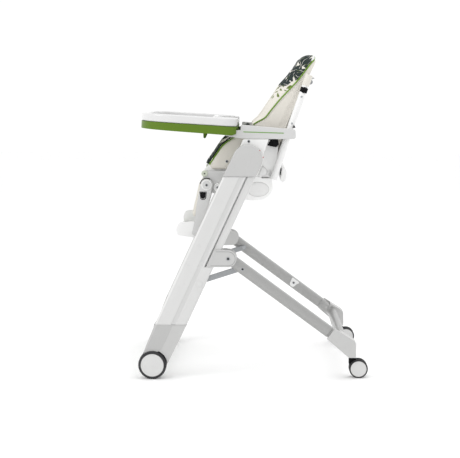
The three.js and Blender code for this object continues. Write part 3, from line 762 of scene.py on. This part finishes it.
def plumped(name, bm, cap):
    """Swells a closed form like a filled cover: remesh, inflate as cloth, hold back, subdivide."""
    pad = added(name, mesh_of(bm, name))
    remesh = pad.modifiers.new("Remesh", "REMESH")
    remesh.mode = "VOXEL"
    remesh.voxel_size = PAD_VOXEL
    calm = pad.modifiers.new("Calm", "SMOOTH")
    calm.iterations = 3
    applied(pad)
    before = np.array([v.co for v in pad.data.vertices])
    cloth = pad.modifiers.new("Cloth", "CLOTH")
    cloth.point_cache.frame_end = PAD_FRAMES
    for label, value in PAD_CLOTH.items():
        setattr(cloth.settings, label, value)
    cloth.settings.effector_weights.gravity = 0
    for f in range(1, PAD_FRAMES + 1):
        bpy.context.scene.frame_set(f)
    applied(pad)
    bpy.context.scene.frame_set(1)
    shift = np.array([v.co for v in pad.data.vertices]) - before
    length = np.maximum(np.linalg.norm(shift, axis=1, keepdims=True), 1e-9)
    after = before + shift * np.minimum(1, cap / 1000 / length)
    pad.data.vertices.foreach_set("co", after.astype(np.float32).ravel())
    pad.data.update()
    finer = pad.modifiers.new("Finer", "SUBSURF")
    finer.levels = finer.render_levels = 1
    applied(pad)
    pad.data.shade_smooth()
    return pad


def cover_pad(pad, body, stands_for, outside, inside="print"):
    """Puts the two cover materials on a pad and declares it. outside says which faces are plain."""
    mesh = pad.data
    mesh.materials.clear()
    mesh.materials.append(MATERIALS["cover"])
    mesh.materials.append(MATERIALS[inside])
    for face in mesh.polygons:
        face.material_index = 0 if outside(face.center, face.normal) else 1
    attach(pad, body)
    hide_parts(*stands_for)
    return pad


def surface(piece):
    return BVHTree.FromPolygons(
        [v.co for v in piece.data.vertices], [p.vertices for p in piece.data.polygons]
    )


def laid_on(skin, points, lift):
    """The points moved onto a surface, and lifted off it by that many millimetres."""
    line = []
    for p in points:
        spot, normal, _, _ = skin.find_nearest(p)
        line.append(spot + normal * (lift / 1000))
    return line


def shrunk(bm, amount):
    """Moves a closed form's skin in by an amount in millimetres, to leave room to swell."""
    bmesh.ops.recalc_face_normals(bm, faces=bm.faces)
    bm.normal_update()
    for v in bm.verts:
        v.co -= v.normal * (amount / 1000)
    return bm


# The backrest cover's outline in the backrest's frame, as (up, forward): its back edge, the cord
# along its outer side, and the padded roll in front of the cord.
BACK_EDGE = [
    (128, 2), (161, 2), (219, -2), (276, -8), (340, -15), (363, -18), (386, -21), (397, -18), (404, -12),
    (408, -6), (410, -1),
]
CORD_LINE = [
    (131, 110), (147, 97), (166, 80), (184, 73), (236, 54), (313, 20), (350, 8), (378, -1), (396, -8),
    (406, -10), (410, -3),
]
ROLL_LINE = [
    (128, 120), (142, 113), (156, 106), (172, 101), (203, 93), (249, 81), (298, 67), (327, 53),
    (350, 45), (371, 38),
    (386, 30), (397, 22), (404, 14), (408, 7), (410, 2),
]
HALF_WIDTH = [(18, 166), (350, 166), (375, 164), (390, 160), (399, 153), (405, 144), (409, 130), (410, 122)]


def along_line(line, up):
    return float(np.interp(up, [p[0] for p in line], [p[1] for p in line]))


def backrest_form():
    """The backrest cover as a closed form: slices up its height, each a bucket with rolled sides."""
    slices = []
    ups = [
        18, 24, 40, 60, 80, 100, 118, 128, 136, 150, 165, 184, 210, 236, 262, 288, 313, 334, 352, 368, 380,
        389, 396, 401, 405, 408, 410,
    ]
    for up in ups:
        wing = max(0.0, min(1.0, (up - 100) / 32))
        wing = wing * wing * (3 - 2 * wing)
        top = max(0.0, min(1.0, (up - 372) / 38))
        half = along_line(HALF_WIDTH, up)
        edge = along_line(ROLL_LINE, up)
        body = min(27, edge)
        roll = body + (edge - body) * wing
        cord = body - 6 + (along_line(CORD_LINE, up) - body + 6) * wing
        back = 1.2 + (along_line(BACK_EDGE, up) - 1.2) * wing
        plain = 150 + (half - 150) * wing
        inner = min(plain - 10, 134)
        deep = min(body + 3 * wing, edge - 1)
        under = min(1.0, back + 20 * (1 - top))
        half_slice = [
            (0, deep), (50, deep), (92, deep + 1), (inner - 16, deep + 5 + 0.12 * (roll - deep)),
            (inner - 4, deep + 0.62 * (roll - deep)), (inner + 3, deep + 0.92 * (roll - deep)),
            (inner + 12, roll),
            (plain - 10, cord + 0.55 * (roll - cord)), (plain - 2, cord + 0.12 * (roll - cord)),
            (plain, cord),
            (plain, back + 0.4 * (cord - back)), (plain, back + 2), (plain - 2, back), (plain - 7, back),
            (min(plain - 8.5, 157.5), under), (0.75 * plain, under - 0.4), (0.38 * plain, under - 0.4),
            (0, under - 0.4),
        ]
        whole = half_slice + [(-x, f) for x, f in half_slice[-2:0:-1]]
        slices.append([on_back(x, up, f) for x, f in whole])
    bm = bmesh.new()
    skinned(bm, [[bm.verts.new(p) for p in s] for s in slices], split_ends=True)
    return bm


# ---- Settings ----


class HighChairColours(bpy.types.PropertyGroup):
    """Colours of the chair's materials."""

    def swatch(label, text, value):
        return bpy.props.FloatVectorProperty(
            name=label, description=text, default=value, subtype="COLOR", min=0, max=1
        )

    white: swatch("White", "Moulded white plastic", (0.82, 0.82, 0.815))
    leg_white: swatch("Leg White", "Legs and wheel discs", (0.62, 0.62, 0.615))
    pale_grey: swatch("Pale Grey", "Caps, feet, leg rest and caster corners", (0.5, 0.5, 0.495))
    tray_white: swatch("Tray White", "Glossy tray top", (0.66, 0.66, 0.66))
    green: swatch("Green", "Tray base and lever", (0.1, 0.18, 0.012))
    stripe: swatch("Stripe", "Line along the armrests", (0.16, 0.33, 0.07))
    silver: swatch("Silver", "Lacquered rear tubes", (0.36, 0.36, 0.355))
    steel: swatch("Steel", "Struts, axle and fasteners", (0.33, 0.34, 0.35))
    black: swatch("Black", "Buckle, forks and buttons", (0.006, 0.006, 0.007))
    pale_green: swatch("Pale Green", "Hinge spots at the front of the seat", (0.56, 0.6, 0.5))
    red: swatch("Red", "Buckle button and marks", (0.5, 0.03, 0.03))
    tyre: swatch("Tyre", "Rubber tyres", (0.022, 0.022, 0.024))
    cover: swatch("Cover", "Padded cover", (0.72, 0.69, 0.63))
    print_dark: swatch("Print", "Leaves on the cover's inside", (0.004, 0.01, 0.009))
    print_accent: swatch("Print Accent", "Small leaves", (0.12, 0.17, 0.03))
    piping: swatch("Piping", "Cord along the cover's edges", (0.17, 0.3, 0.045))
    webbing: swatch("Webbing", "Harness straps", (0.014, 0.014, 0.015))


class HighChairSizes(bpy.types.PropertyGroup):
    """Sizes of the details that the packed frame doesn't fix."""

    def length(label, text, value):
        return bpy.props.FloatProperty(name=label, description=text, default=value, min=0, max=60)

    moulding_edge: length("Moulding Edge", "Radius of the plastic pieces' edges, in mm", 2.0)
    piping: length("Piping", "Diameter of the cord along the cover, in mm", 4.6)
    strap: length("Strap", "Width of the harness webbing, in mm", 25)
    stitch: length("Stitch", "Distance from stitch to stitch, in mm", 3.4)
    tread_bars: bpy.props.IntProperty(
        name="Tread Bars", description="Bars round a front tyre", default=44, min=8, max=90
    )


ORDER = []


def operator(label):
    """Makes an operator of a function that takes the colours and sizes, and adds it to ORDER."""

    def wrap(make):
        def execute(self, context):
            scene = context.scene
            make(scene.high_chair_colours, scene.high_chair_sizes)
            return {"FINISHED"}

        name = make.__name__
        parts = {
            "__doc__": make.__doc__, "bl_idname": f"highchair.{name}", "bl_label": label,
            "bl_options": {"REGISTER", "UNDO"}, "execute": execute,
        }
        ORDER.append(type(f"HIGHCHAIR_OT_{name}", (bpy.types.Operator,), parts))
        return make

    return wrap


@operator("Finishes")
def finishes(colours, sizes):
    """Mixes the materials."""
    mix_finishes(colours)


@operator("Stage")
def stage(colours, sizes):
    """Floor, soft light and camera."""
    f = Finish("studio_floor", 0.7)
    f.colour(f.mix(f.noise(3, 3), (0.955, 0.955, 0.955), (0.975, 0.975, 0.975)))
    mesh = bpy.data.meshes.new("studio_floor")
    half = 14
    mesh.from_pydata(
        [(-half, -half, 0), (half, -half, 0), (half, half, 0), (-half, half, 0)], [], [(0, 1, 2, 3)]
    )
    mesh.materials.append(f.material)
    added("studio_floor", mesh)

    world = bpy.data.worlds.new("studio")
    bpy.context.scene.world = world
    world.use_nodes = True
    sky = world.node_tree.nodes["Background"]
    sky.inputs["Color"].default_value = (1, 1, 1, 1)
    sky.inputs["Strength"].default_value = 1.04

    middle = at(0, 300, 550)
    for name, place, size, power in (
        ("key", (1.6, -2.6, 2.2), 1.6, 20),
        ("top", (0.3, 0.4, 3.2), 2.2, 14),
        ("back", (-1.6, 2.6, 2.0), 2.0, 12),
    ):
        light = bpy.data.lights.new(name, "AREA")
        light.size = size
        light.energy = power
        lamp = added(name, light)
        lamp.location = place
        lamp.rotation_euler = (middle - Vector(place)).to_track_quat("-Z", "Y").to_euler()

    data = bpy.data.cameras.new("camera")
    data.lens = 89.92
    data.sensor_width = 36
    camera = added("camera", data)
    camera.location = at(3908.479, 322.784, 915.337)
    around, above = math.radians(91.15), math.radians(6.755)
    level = math.cos(above)
    ahead = Vector((-math.sin(around) * level, math.cos(around) * level, -math.sin(above)))
    camera.rotation_euler = ahead.to_track_quat("-Z", "Y").to_euler()
    bpy.context.scene.camera = camera
    bpy.context.scene.view_settings.view_transform = "Standard"


@operator("Main Legs")
def main_legs(colours, sizes):
    """Main legs with their caps, feet and pivot covers, and the tube between the feet."""
    edge = sizes.moulding_edge

    def behind(co):
        """How far a point is behind a leg's axis, in millimetres."""
        axis = (co.z * 1000 - WHEEL_RADIUS) * math.tan(LEG_LEAN)
        return (co.y * 1000 + AXLE_TO_MIDDLE - axis) * math.cos(LEG_LEAN)

    tones = (
        # Faces along each leg's front outer edge take the lighter leg white: a painted highlight.
        ("leg_edge", lambda co: abs(co.x) > 0.2835 and behind(co) < -41.8),
        # Faces in each leg's shallow groove take the darker leg white: painted shade.
        ("groove", lambda co: 0.288 < abs(co.x) < 0.2899 and -1 < behind(co) < 13.2),
    )
    for side, d in SIDES:
        rounded_copy(f"main_leg_{side}", edge * 0.7, 2, "leg", 32, tones)
        rounded_copy(f"leg_cap_{side}", edge * 1.6, 3)
        rounded_copy(f"leg_foot_{side}", edge, 2)
        disc(
            f"strut_pivot_cover_{side}", *STRUT_FOOT, 11.5, d * 289.7, d * 290.9, "leg", "main_frame", 0.6,
            0.5
        )
        tongue = ((1.5, 0), (1.5, 12), (56, 12), (61, 9), (63, 6), (61, 3), (56, 0))
        tongue = [(CAP_JOINT + z, back) for z, back in tongue]
        plate(
            f"cap_groove_{side}", tongue, d * 290.4, d * 291.3, "pale_grey", "main_frame", 0.35, 2, on_leg
        )
        # A darker plate on the front facet of each foot: painted shade.
        facet = [
            (FOOT_JOINT - 2, -40), (FOOT_JOINT - 2, 5.5), (96, 5.5), (88, -2), (82, -12), (78, -26),
            (76, -40),
        ]
        plate(f"shaded_foot_facet_{side}", facet, d * 289.4, d * 290.5, "facet", "main_frame", 0.45, 2, on_leg)
    dress("front_axle_tube")


@operator("Front Wheels")
def front_wheels(colours, sizes):
    """Front wheels: tyres with tread, dished discs and hub caps."""
    for side, d in SIDES:
        body = f"front_wheel_{side}"
        centre = at(0, 0, WHEEL_RADIUS)
        tread = [
            (37.6, 269.5), (41, 269), (43.5, 270), (44.9, 273), (45.3, 278), (45.3, 290), (44.9, 295),
            (43.5, 298), (41, 299), (37.6, 298.5),
        ]
        profile = [(r, d * x) for r, x in tread]
        spun(
            f"front_tyre_{side}_rubber", [*profile, profile[0]], centre, "tyre", body, 72,
            (f"front_tyre_{side}",)
        )
        face = [
            (5.4, 270), (37.2, 270), (37.2, 297.4), (36.6, 298.8), (35.2, 299.5), (33.8, 299.4),
            (33.2, 298.9),
            (32.4, 298.8), (20, 299.6), (8, 300), (0, 300), (0, 292), (5.4, 292), (5.4, 270),
        ]
        spun(
            f"front_hub_{side}_disc", [(r, d * x) for r, x in face], centre, "leg", body, 72,
            (f"front_hub_{side}",)
        )
        inputs = {
            "Count": sizes.tread_bars, "Radius": 0.0449, "Bar": (0.0012, 0.0026, 0.021), "Slant": 0.35,
            "Centre": (d * 0.284, centre.y, centre.z), "Finish": MATERIALS["tyre"],
        }
        grown(f"front_tread_{side}", "ring", inputs, body)


def cross_line():
    """The middle line of the rear cross tube, from one side round both bends to the other."""
    bend, corner = 46, 458
    inner = REAR_TUBE_X - bend
    line = [on_rear_leg(REAR_TUBE_X, 405, 0)]
    line += [on_rear_leg(x, along, 0) for x, along in arc((inner, corner - bend), bend, end=90, steps=12)]
    line += [on_rear_leg(inner * (1 - k / 8), corner, 0) for k in range(1, 9)]
    return mirrored(line)


@operator("Rear Frame")
def rear_frame(colours, sizes):
    """Sliding brackets, rear tubes, fold struts, corner mouldings and tray hooks."""
    edge = sizes.moulding_edge
    up = (0, math.sin(REAR_LEAN), math.cos(REAR_LEAN))
    for side, d in SIDES:
        rounded_copy(f"rear_bracket_{side}", edge * 0.75, 2, "pale_grey")
        path = [on_rear_leg(d * REAR_TUBE_X, -14 + 418 * k / 12, 0) for k in range(13)]
        swept(
            f"rear_leg_{side}_tube", path, (26, 38), "silver", "rear_frame", 32, up, (f"rear_leg_{side}",)
        )
        rounded_copy(f"caster_housing_{side}", edge * 1.4, 3)
        rounded_copy(f"tray_hook_{side}", edge * 0.5, 2)
        rounded_copy(f"fold_strut_{side}", 1.2, 2)
        bolted(f"rear_pivot_bolt_{side}", *PIVOT, 6.5, d * 290.6, d * 293, "rear_carriage")
        bolted(f"strut_head_bolt_{side}", *STRUT_HEAD, 6, d * 278.4, d * 280.8, "rear_frame")
        # A dark line round each bracket's edge, where it meets the leg: a painted shadow line.
        rim = arc(PIVOT, 22.5, start=-90, end=90, steps=18)
        rim = [(188, 368.5), (216, 368.5), *rim, (230, 413.5), (205, 413.5)]
        line = [at(d * 290.9, y, z) for y, z in rim]
        swept(f"bracket_shadow_line_{side}", line, (1.2, 1.2), "joint", "rear_carriage", 8)
        for end, place in (("head", STRUT_HEAD), ("foot", STRUT_FOOT)):
            disc(f"strut_bolt_{end}_{side}", *place, 6.5, d * 243.8, d * 240.8, "zinc", "fold_struts", 1)
        bolted(
            f"hook_bolt_{side}", *side_view(on_rear_leg(0, 282, 2)), 4.5, d * 248.8, d * 246.2,
            "rear_frame"
        )
    swept(
        "rear_cross_tube_bend", cross_line(), (25, 36), "silver", "rear_frame", 32, up,
        ("rear_cross_tube",)
    )


@operator("Casters")
def casters(colours, sizes):
    """Rear casters: forks with twin wheels."""
    for side, d in SIDES:
        rounded_copy(f"caster_fork_{side}", 1.2, 2)
        body = f"caster_wheel_{side}"
        half = [
            (4, 6), (27, 6), (29.4, 6.6), (30, 8), (30, 15.4), (29.3, 17), (27.6, 17.8), (26.2, 17.6),
            (25.8, 15), (0, 15),
        ]
        profile = [(r, -x) for r, x in half[::-1]] + half
        centre = at(d * CASTER_X, 665, 30)
        spun(f"{body}_tyres", profile, centre, "caster", body, 56, (body,))
        for k, sign in enumerate((1, -1)):
            face = [
                (0, 15.4), (25.4, 15.4), (25.6, 17.2), (25, 17.9), (24, 18), (23.4, 17.7), (12, 18.1),
                (0, 18.2),
            ]
            spun(f"{body}_disc_{k}", [(r, sign * x) for r, x in face], centre, "leg", body, 48)


@operator("Seat")
def seat(colours, sizes):
    """The seat's plastic: shell, side plates, mechanism housing, sliders and leg rest hinges."""
    edge = sizes.moulding_edge
    # The shell and the mechanism housing take the lighter copy of the white: painted light.
    rounded_copy("seat_shell", edge * 0.7, 2, "bright")
    rounded_copy("mechanism_housing", edge * 1.6, 3, "bright")
    oval = arc(HOUSING_EYE, 34, 22)[:-1]
    insert = [(381, 767), (404, 766), (405.5, 750), (398, 741), (369, 747)]
    for side, d in SIDES:
        rounded_copy(f"seat_side_plate_{side}", edge * 1.3, 3)
        rounded_copy(f"height_slider_{side}", 0.8, 1)
        # The leg rest housing takes the darker copy of the white: painted shade.
        rounded_copy(f"legrest_housing_{side}", edge, 2, "armrest")
        rounded_copy(f"height_button_{side}", 1, 2)
        plate(f"housing_cover_{side}", oval, d * 169, d * 171.2, "white", "seat", 0.9, 3)
        # The seam round the housing cover is a ring in the darker leg white: painted shade in the groove.
        ring = [at(d * 170.2, y, z) for y, z in arc(HOUSING_EYE, 35.5, 23.5, steps=48)]
        swept(f"housing_seam_{side}", ring, (1.4, 1.4), "groove", "seat", 8, closed_ends=False)
        plate(f"strap_guide_{side}", insert, d * 174.2, d * 198, "black", "seat", 1.2)
        disc(
            f"recline_bolt_{side}", *RECLINE, 7, d * 184.2, d * 187, "pale_grey", "backrest", 1,
            slot="white"
        )
        for k, (y, z) in enumerate(((344, 733), (355, 711))):
            mark = [(y - 2.5, z + 1.5), (y + 2.5, z + 1.5), (y, z - 3)]
            plate(f"height_mark_{k}_{side}", mark, d * 239.9, d * 240.4, "red", "seat", 0.1, 1)


@operator("Armrests")
def armrests(colours, sizes):
    """Armrests with a green line and a bolt cover."""
    for side, d in SIDES:
        # The armrest takes the darker copy of the white: painted shade.
        rounded_copy(f"armrest_{side}", sizes.moulding_edge * 2.6, 4, "armrest")
        line = [(292, 790.5), (420, 786.5), (421, 788), (420, 789.5), (292, 793.5), (291, 792)]
        plate(f"armrest_line_{side}", line, d * 235.7, d * 236.5, "stripe", "seat", 0.2, 1)
        bolted(f"armrest_bolt_{side}", 309, 762, 4.8, d * 239.5, d * 241.8, "seat")


@operator("Seat Cushion")
def seat_cushion(colours, sizes):
    """The padded seat cover with its piping, side seams and snaps."""
    pad = plumped("seat_cushion_cover", shrunk(node_form("seat_cushion"), 1.2), 2.6)

    def plain(centre, normal):
        return abs(centre.x) > 0.17 and normal.z < 0.8 or centre.z < 0.66

    cover_pad(pad, "seat", ("seat_cushion",), plain, "seat_print")
    skin = surface(pad)
    edge = [
        (180, 684), (184, 694), (196, 711), (211, 733), (224, 751), (247, 769), (275, 784), (300, 797),
        (314, 804),
    ]
    hem = [(190, 671), (234, 671), (247, 692), (290, 763)]
    for side, d in SIDES:
        line = curve_points([at(d * 184, y, z) for y, z in edge])
        line = laid_on(skin, line, 1.2)
        swept(f"seat_piping_{side}", line, (sizes.piping, sizes.piping), "piping", "seat", 12, (d, 0, 0.01))
        seam = curve_points([at(d * 187, y, z) for y, z in hem])
        stitched(f"flap_stitches_{side}", laid_on(skin, seam, 0.3), "seat", sizes.stitch)
        bolted(f"flap_snap_{side}", 238, 695, 5.4, d * 184, d * 187.6, "seat")
        line = curve_points([at(d * 171, y - 4.5, z + 3.5) for y, z in edge])
        roll = swept(f"seat_roll_{side}", line, (15, 11), "seat_print", "seat", 18, (0, -0.8, 0.6))


@operator("Backrest")
def backrest(colours, sizes):
    """The backrest's shell, side tubes, cross bar, release handle and fittings."""
    rounded_copy("backrest_shell", sizes.moulding_edge * 1.4, 3)
    rounded_copy("recline_handle", sizes.moulding_edge * 1.5, 3)
    dress("back_cross_bar")
    for side, d in SIDES:
        bends = ((-12, -13), (60, -11.5), (180, BACK_TUBE_FORWARD), (336, BACK_TUBE_FORWARD))
        path = curve_points([on_back(d * BACK_TUBE_X, *bend) for bend in bends], 6)
        tube = f"back_tube_{side}"
        swept(f"{tube}_smooth", path, (22, 22), "white", "backrest", 28, stands_for=(tube,))
        plate(
            f"recline_lug_{side}", arc(RECLINE, 10.5, steps=24)[:-1], d * 175.2, d * 184, "white",
            "backrest", 0.8
        )
        for k, up in enumerate((178, 268)):
            disc(
                f"tube_screw_{k}_{side}", *side_view(on_back(0, up, BACK_TUBE_FORWARD)), 3.4, d * 201.6,
                d * 203.6, "zinc", "backrest", 0.5
            )
        hook = [(334, -24), (342, -25), (344, -34), (340, -35), (338, -29), (334, -28)]
        plate(f"cover_hook_{side}", hook, d * 30, d * 36, "pale_grey", "backrest", 0.5, 1, on_back)
        clip = [(294, -1), (300, -5), (301, -15), (283, -18), (281, -7), (283, -3)]
        plate(f"strap_anchor_{side}", clip, d * 202.6, d * 205.6, "black", "backrest", 1.2, 2, on_back)
        collar = [on_back(d * BACK_TUBE_X, up, BACK_TUBE_FORWARD) for up in (283, 288, 294, 299)]
        swept(f"strap_collar_{side}", collar, (24, 24), "black", "backrest", 28)
        wedge = [(165.5, -16), (175.5, -17), (169, -24)]
        plate(f"tube_stop_{side}", wedge, d * 196, d * 206.5, "black", "backrest", 0.6, 1, on_back)
        sleeve = [on_back(d * BACK_TUBE_X, up, BACK_TUBE_FORWARD) for up in range(306, 343, 6)]
        swept(f"cover_sleeve_{side}", sleeve, (24.5, 24.5), "cover", "backrest", 28)
        # A black slit in the recline handle's gap: a painted shadow.
        slit = [(409.5, 652), (412.4, 650), (414.6, 674), (411.5, 678)]
        plate(f"handle_gap_shadow_{side}", slit, d * 186.5, d * 188.7, "black", "recline_handle", 0.3, 1)


@operator("Backrest Cushion")
def backrest_cushion(colours, sizes):
    """The padded backrest cover with rolled wings, piping, seams and shoulder straps."""
    pad = plumped("backrest_cushion_cover", shrunk(backrest_form(), 1.0), 3.2)
    skin = surface(pad)
    half = [on_back(along_line(HALF_WIDTH, up) + 4, up, f) for up, f in CORD_LINE[:-1]]
    half += [on_back(x, 414, f) for x, f in ((132, -7), (100, -5), (50, -4), (0, -4))]
    line = laid_on(skin, curve_points(mirrored(half)), 1.2)
    foot, turn = on_back(0, 0, 0), Matrix.Rotation(BACK_LEAN, 3, "X")
    piping = KDTree(len(line))
    for k, p in enumerate(line):
        piping.insert(p, k)
    piping.balance()

    def in_back(p):
        """A point's place across, up and forward on the backrest, in millimetres."""
        local = turn @ (p - foot) * 1000
        return local.x, local.z, -local.y

    def outside(centre, normal):
        x, up, forward = in_back(centre)
        if up > 378:
            return forward < in_back(piping.find(centre)[0])[2] - 1.5
        return forward < along_line(CORD_LINE, up) + 1 and (abs(x) > 120 or forward < 4)

    cover_pad(pad, "backrest", ("backrest_cushion",), outside)
    pad.data.materials.append(MATERIALS["seat_print"])
    for face in pad.data.polygons:
        in_front = abs(face.center.x) < 0.126 and face.normal.y < -0.3
        if face.material_index == 1 and in_front:
            face.material_index = 2
    swept("backrest_piping", line, (sizes.piping, sizes.piping), "piping", "backrest", 12, (0.01, 1, 0.02))
    for side, d in SIDES:
        seam = curve_points([on_back(d * 170, up, f - 7) for up, f in CORD_LINE[1:-4]])
        stitched(f"backrest_stitches_{side}", laid_on(skin, seam, 0.3), "backrest", sizes.stitch)
    for side, d in SIDES:
        line = curve_points([on_back(d * 54, up, 40) for up in range(62, 300, 12)], 3)
        line = laid_on(skin, line, 1.6)
        strap = f"shoulder_strap_{side}"
        ribbon(f"{strap}_webbing", line, sizes.strap, "backrest", stands_for=(strap,))
        mouth = [(286, 27), (296, 27), (296, 34), (286, 34)]
        plate(f"strap_slot_{side}", mouth, d * 38, d * 70, "black", "backrest", 1, 2, on_back)


@operator("Harness")
def harness(colours, sizes):
    """Lap and crotch straps with the buckle."""
    skin = surface(bpy.data.objects["seat_cushion_cover"])
    lap = [at(x, 336, 700) for x in range(-140, 141, 10)]
    ribbon("lap_strap_webbing", laid_on(skin, lap, 1.8), sizes.strap, "seat", (0, 1, 0), ("lap_straps",))
    crotch = [at(0, y, 700) for y in range(228, 290, 6)]
    ribbon("crotch_strap_webbing", laid_on(skin, crotch, 1.8), sizes.strap, "seat")
    rounded_copy("harness_buckle", 2.4, 3)
    rounded_copy("buckle_button", 1, 2)


@operator("Leg Rest")
def legrest(colours, sizes):
    """Leg rest: arms with round hinge caps, release buttons, panel and pad."""
    edge = sizes.moulding_edge
    for side, d in SIDES:
        rounded_copy(f"legrest_arm_{side}", edge * 1.1, 3, "leg")
        rounded_copy(f"legrest_button_{side}", 0.8, 2, "black")
        disc(
            f"legrest_cap_{side}", *LEGREST_HINGE, 17, d * 211.6, d * 213.6, "white", "legrest", 1.2,
            slot="pale_grey"
        )
        disc(
            f"legrest_cap_face_{side}", *LEGREST_HINGE, 14, d * 213, d * 214.1, "leg", "legrest", 0.7, 0.4,
            slot="pale_grey"
        )
        bolted(f"legrest_cap_bolt_{side}", *LEGREST_HINGE, 4.8, d * 213.4, d * 215.2, "legrest")
        # The hinge boss takes the lighter copy of the white: painted light.
        disc(f"hinge_boss_{side}", *HINGE_BOSS, 13.5, d * 196, d * 199.5, "bright", "seat", 1.6, 0.6)
        bolted(f"hinge_boss_bolt_{side}", *HINGE_BOSS, 4.6, d * 198, d * 200.4, "seat")
        disc(f"hinge_spot_{side}", *HINGE_SPOT, 10.5, d * 196, d * 198.6, "pale_green", "seat", 1.4, 0.4)
        disc(f"hinge_spot_pin_{side}", *HINGE_SPOT, 2.2, d * 198, d * 199.2, "black", "seat", 0.5)
        # A black arc in the gap between the leg rest arm and its housing: a painted shadow.
        gap = arc(LEGREST_HINGE, 22.5, start=60, end=172, steps=14)
        gap += arc(LEGREST_HINGE, 18, start=172, end=60, steps=14)
        plate(f"hinge_gap_shadow_{side}", gap, d * 197, d * 206, "black", "seat", 0.4, 1)
        window = [(150.5, 597.5), (172.5, 597.5), (169.8, 577.5), (166, 573.6), (158, 573.4), (154.4, 576)]
        line = [at(d * 212.2, y, z) for y, z in [*window, window[0], window[1]]]
        swept(f"window_rim_{side}", line, (2.4, 1.6), "black", "legrest", 8, closed_ends=False)
    rounded_copy("legrest_panel", edge, 2)
    pad = plumped("legrest_pad_cover", shrunk(node_form("legrest_pad"), 1.4), 4)
    cover_pad(pad, "legrest", ("legrest_pad",), lambda c, n: True)
    skin = surface(pad)
    for side, d in SIDES:
        line = [at(d * 158, 147 - (620 - z) * 0.24, z) for z in range(516, 628, 6)]
        stitched(f"legrest_stitches_{side}", laid_on(skin, line, 0.3), "legrest", sizes.stitch)


@operator("Footrest")
def footrest(colours, sizes):
    """Footrest with grip ribs."""
    rounded_copy("footrest", sizes.moulding_edge, 3, "white")
    low, high = at(0, 84, 461.3), at(0, 124, 457)
    inputs = {
        "Count": 9, "Start": tuple(low), "Step": tuple((high - low) / 8), "Bar": (0.34, 0.0018, 0.0014),
        "Finish": MATERIALS["pale_grey"],
    }
    grown("footrest_grip", "row", inputs, "footrest")


@operator("Tray")
def tray(colours, sizes):
    """Tray base, lever and the lift-off top with its rim and cup ring."""
    rounded_copy("tray_base", 3.2, 4)
    rounded_copy("tray_lever", 1.4, 2)
    rounded_copy("tray_top", 6, 5, angle=50)
    ridges = (
        ("tray_oval_ridge", arc((0, -82), 205, 62, steps=96), (6, 7), 12),
        ("tray_cup_ring", arc((-165, -72), 41, steps=60), (4, 3), 10),
    )
    for name, line, size, sides in ridges:
        line = [on_tray(x, y, 6.6) for x, y in line]
        swept(name, line, size, "tray_white", "tray_top", sides, TRAY_UP, closed_ends=False)


class HIGHCHAIR_PT_panel(bpy.types.Panel):
    """Lists the chair's pieces in the sidebar."""

    bl_label = "High Chair"
    bl_idname = "HIGHCHAIR_PT_panel"
    bl_space_type = "VIEW_3D"
    bl_region_type = "UI"
    bl_category = "High Chair"

    def draw(self, context):
        for maker in ORDER:
            self.layout.operator(maker.bl_idname)


CLASSES = (HighChairColours, HighChairSizes, *ORDER, HIGHCHAIR_PT_panel)


def register():
    for cls in CLASSES:
        bpy.utils.register_class(cls)
    bpy.types.Scene.high_chair_colours = bpy.props.PointerProperty(type=HighChairColours)
    bpy.types.Scene.high_chair_sizes = bpy.props.PointerProperty(type=HighChairSizes)


def unregister():
    del bpy.types.Scene.high_chair_sizes
    del bpy.types.Scene.high_chair_colours
    for cls in reversed(CLASSES):
        bpy.utils.unregister_class(cls)


def main():
    register()
    for maker in ORDER:
        group, name = maker.bl_idname.split(".")
        getattr(getattr(bpy.ops, group), name)()


if __name__ == "__main__":
    main()
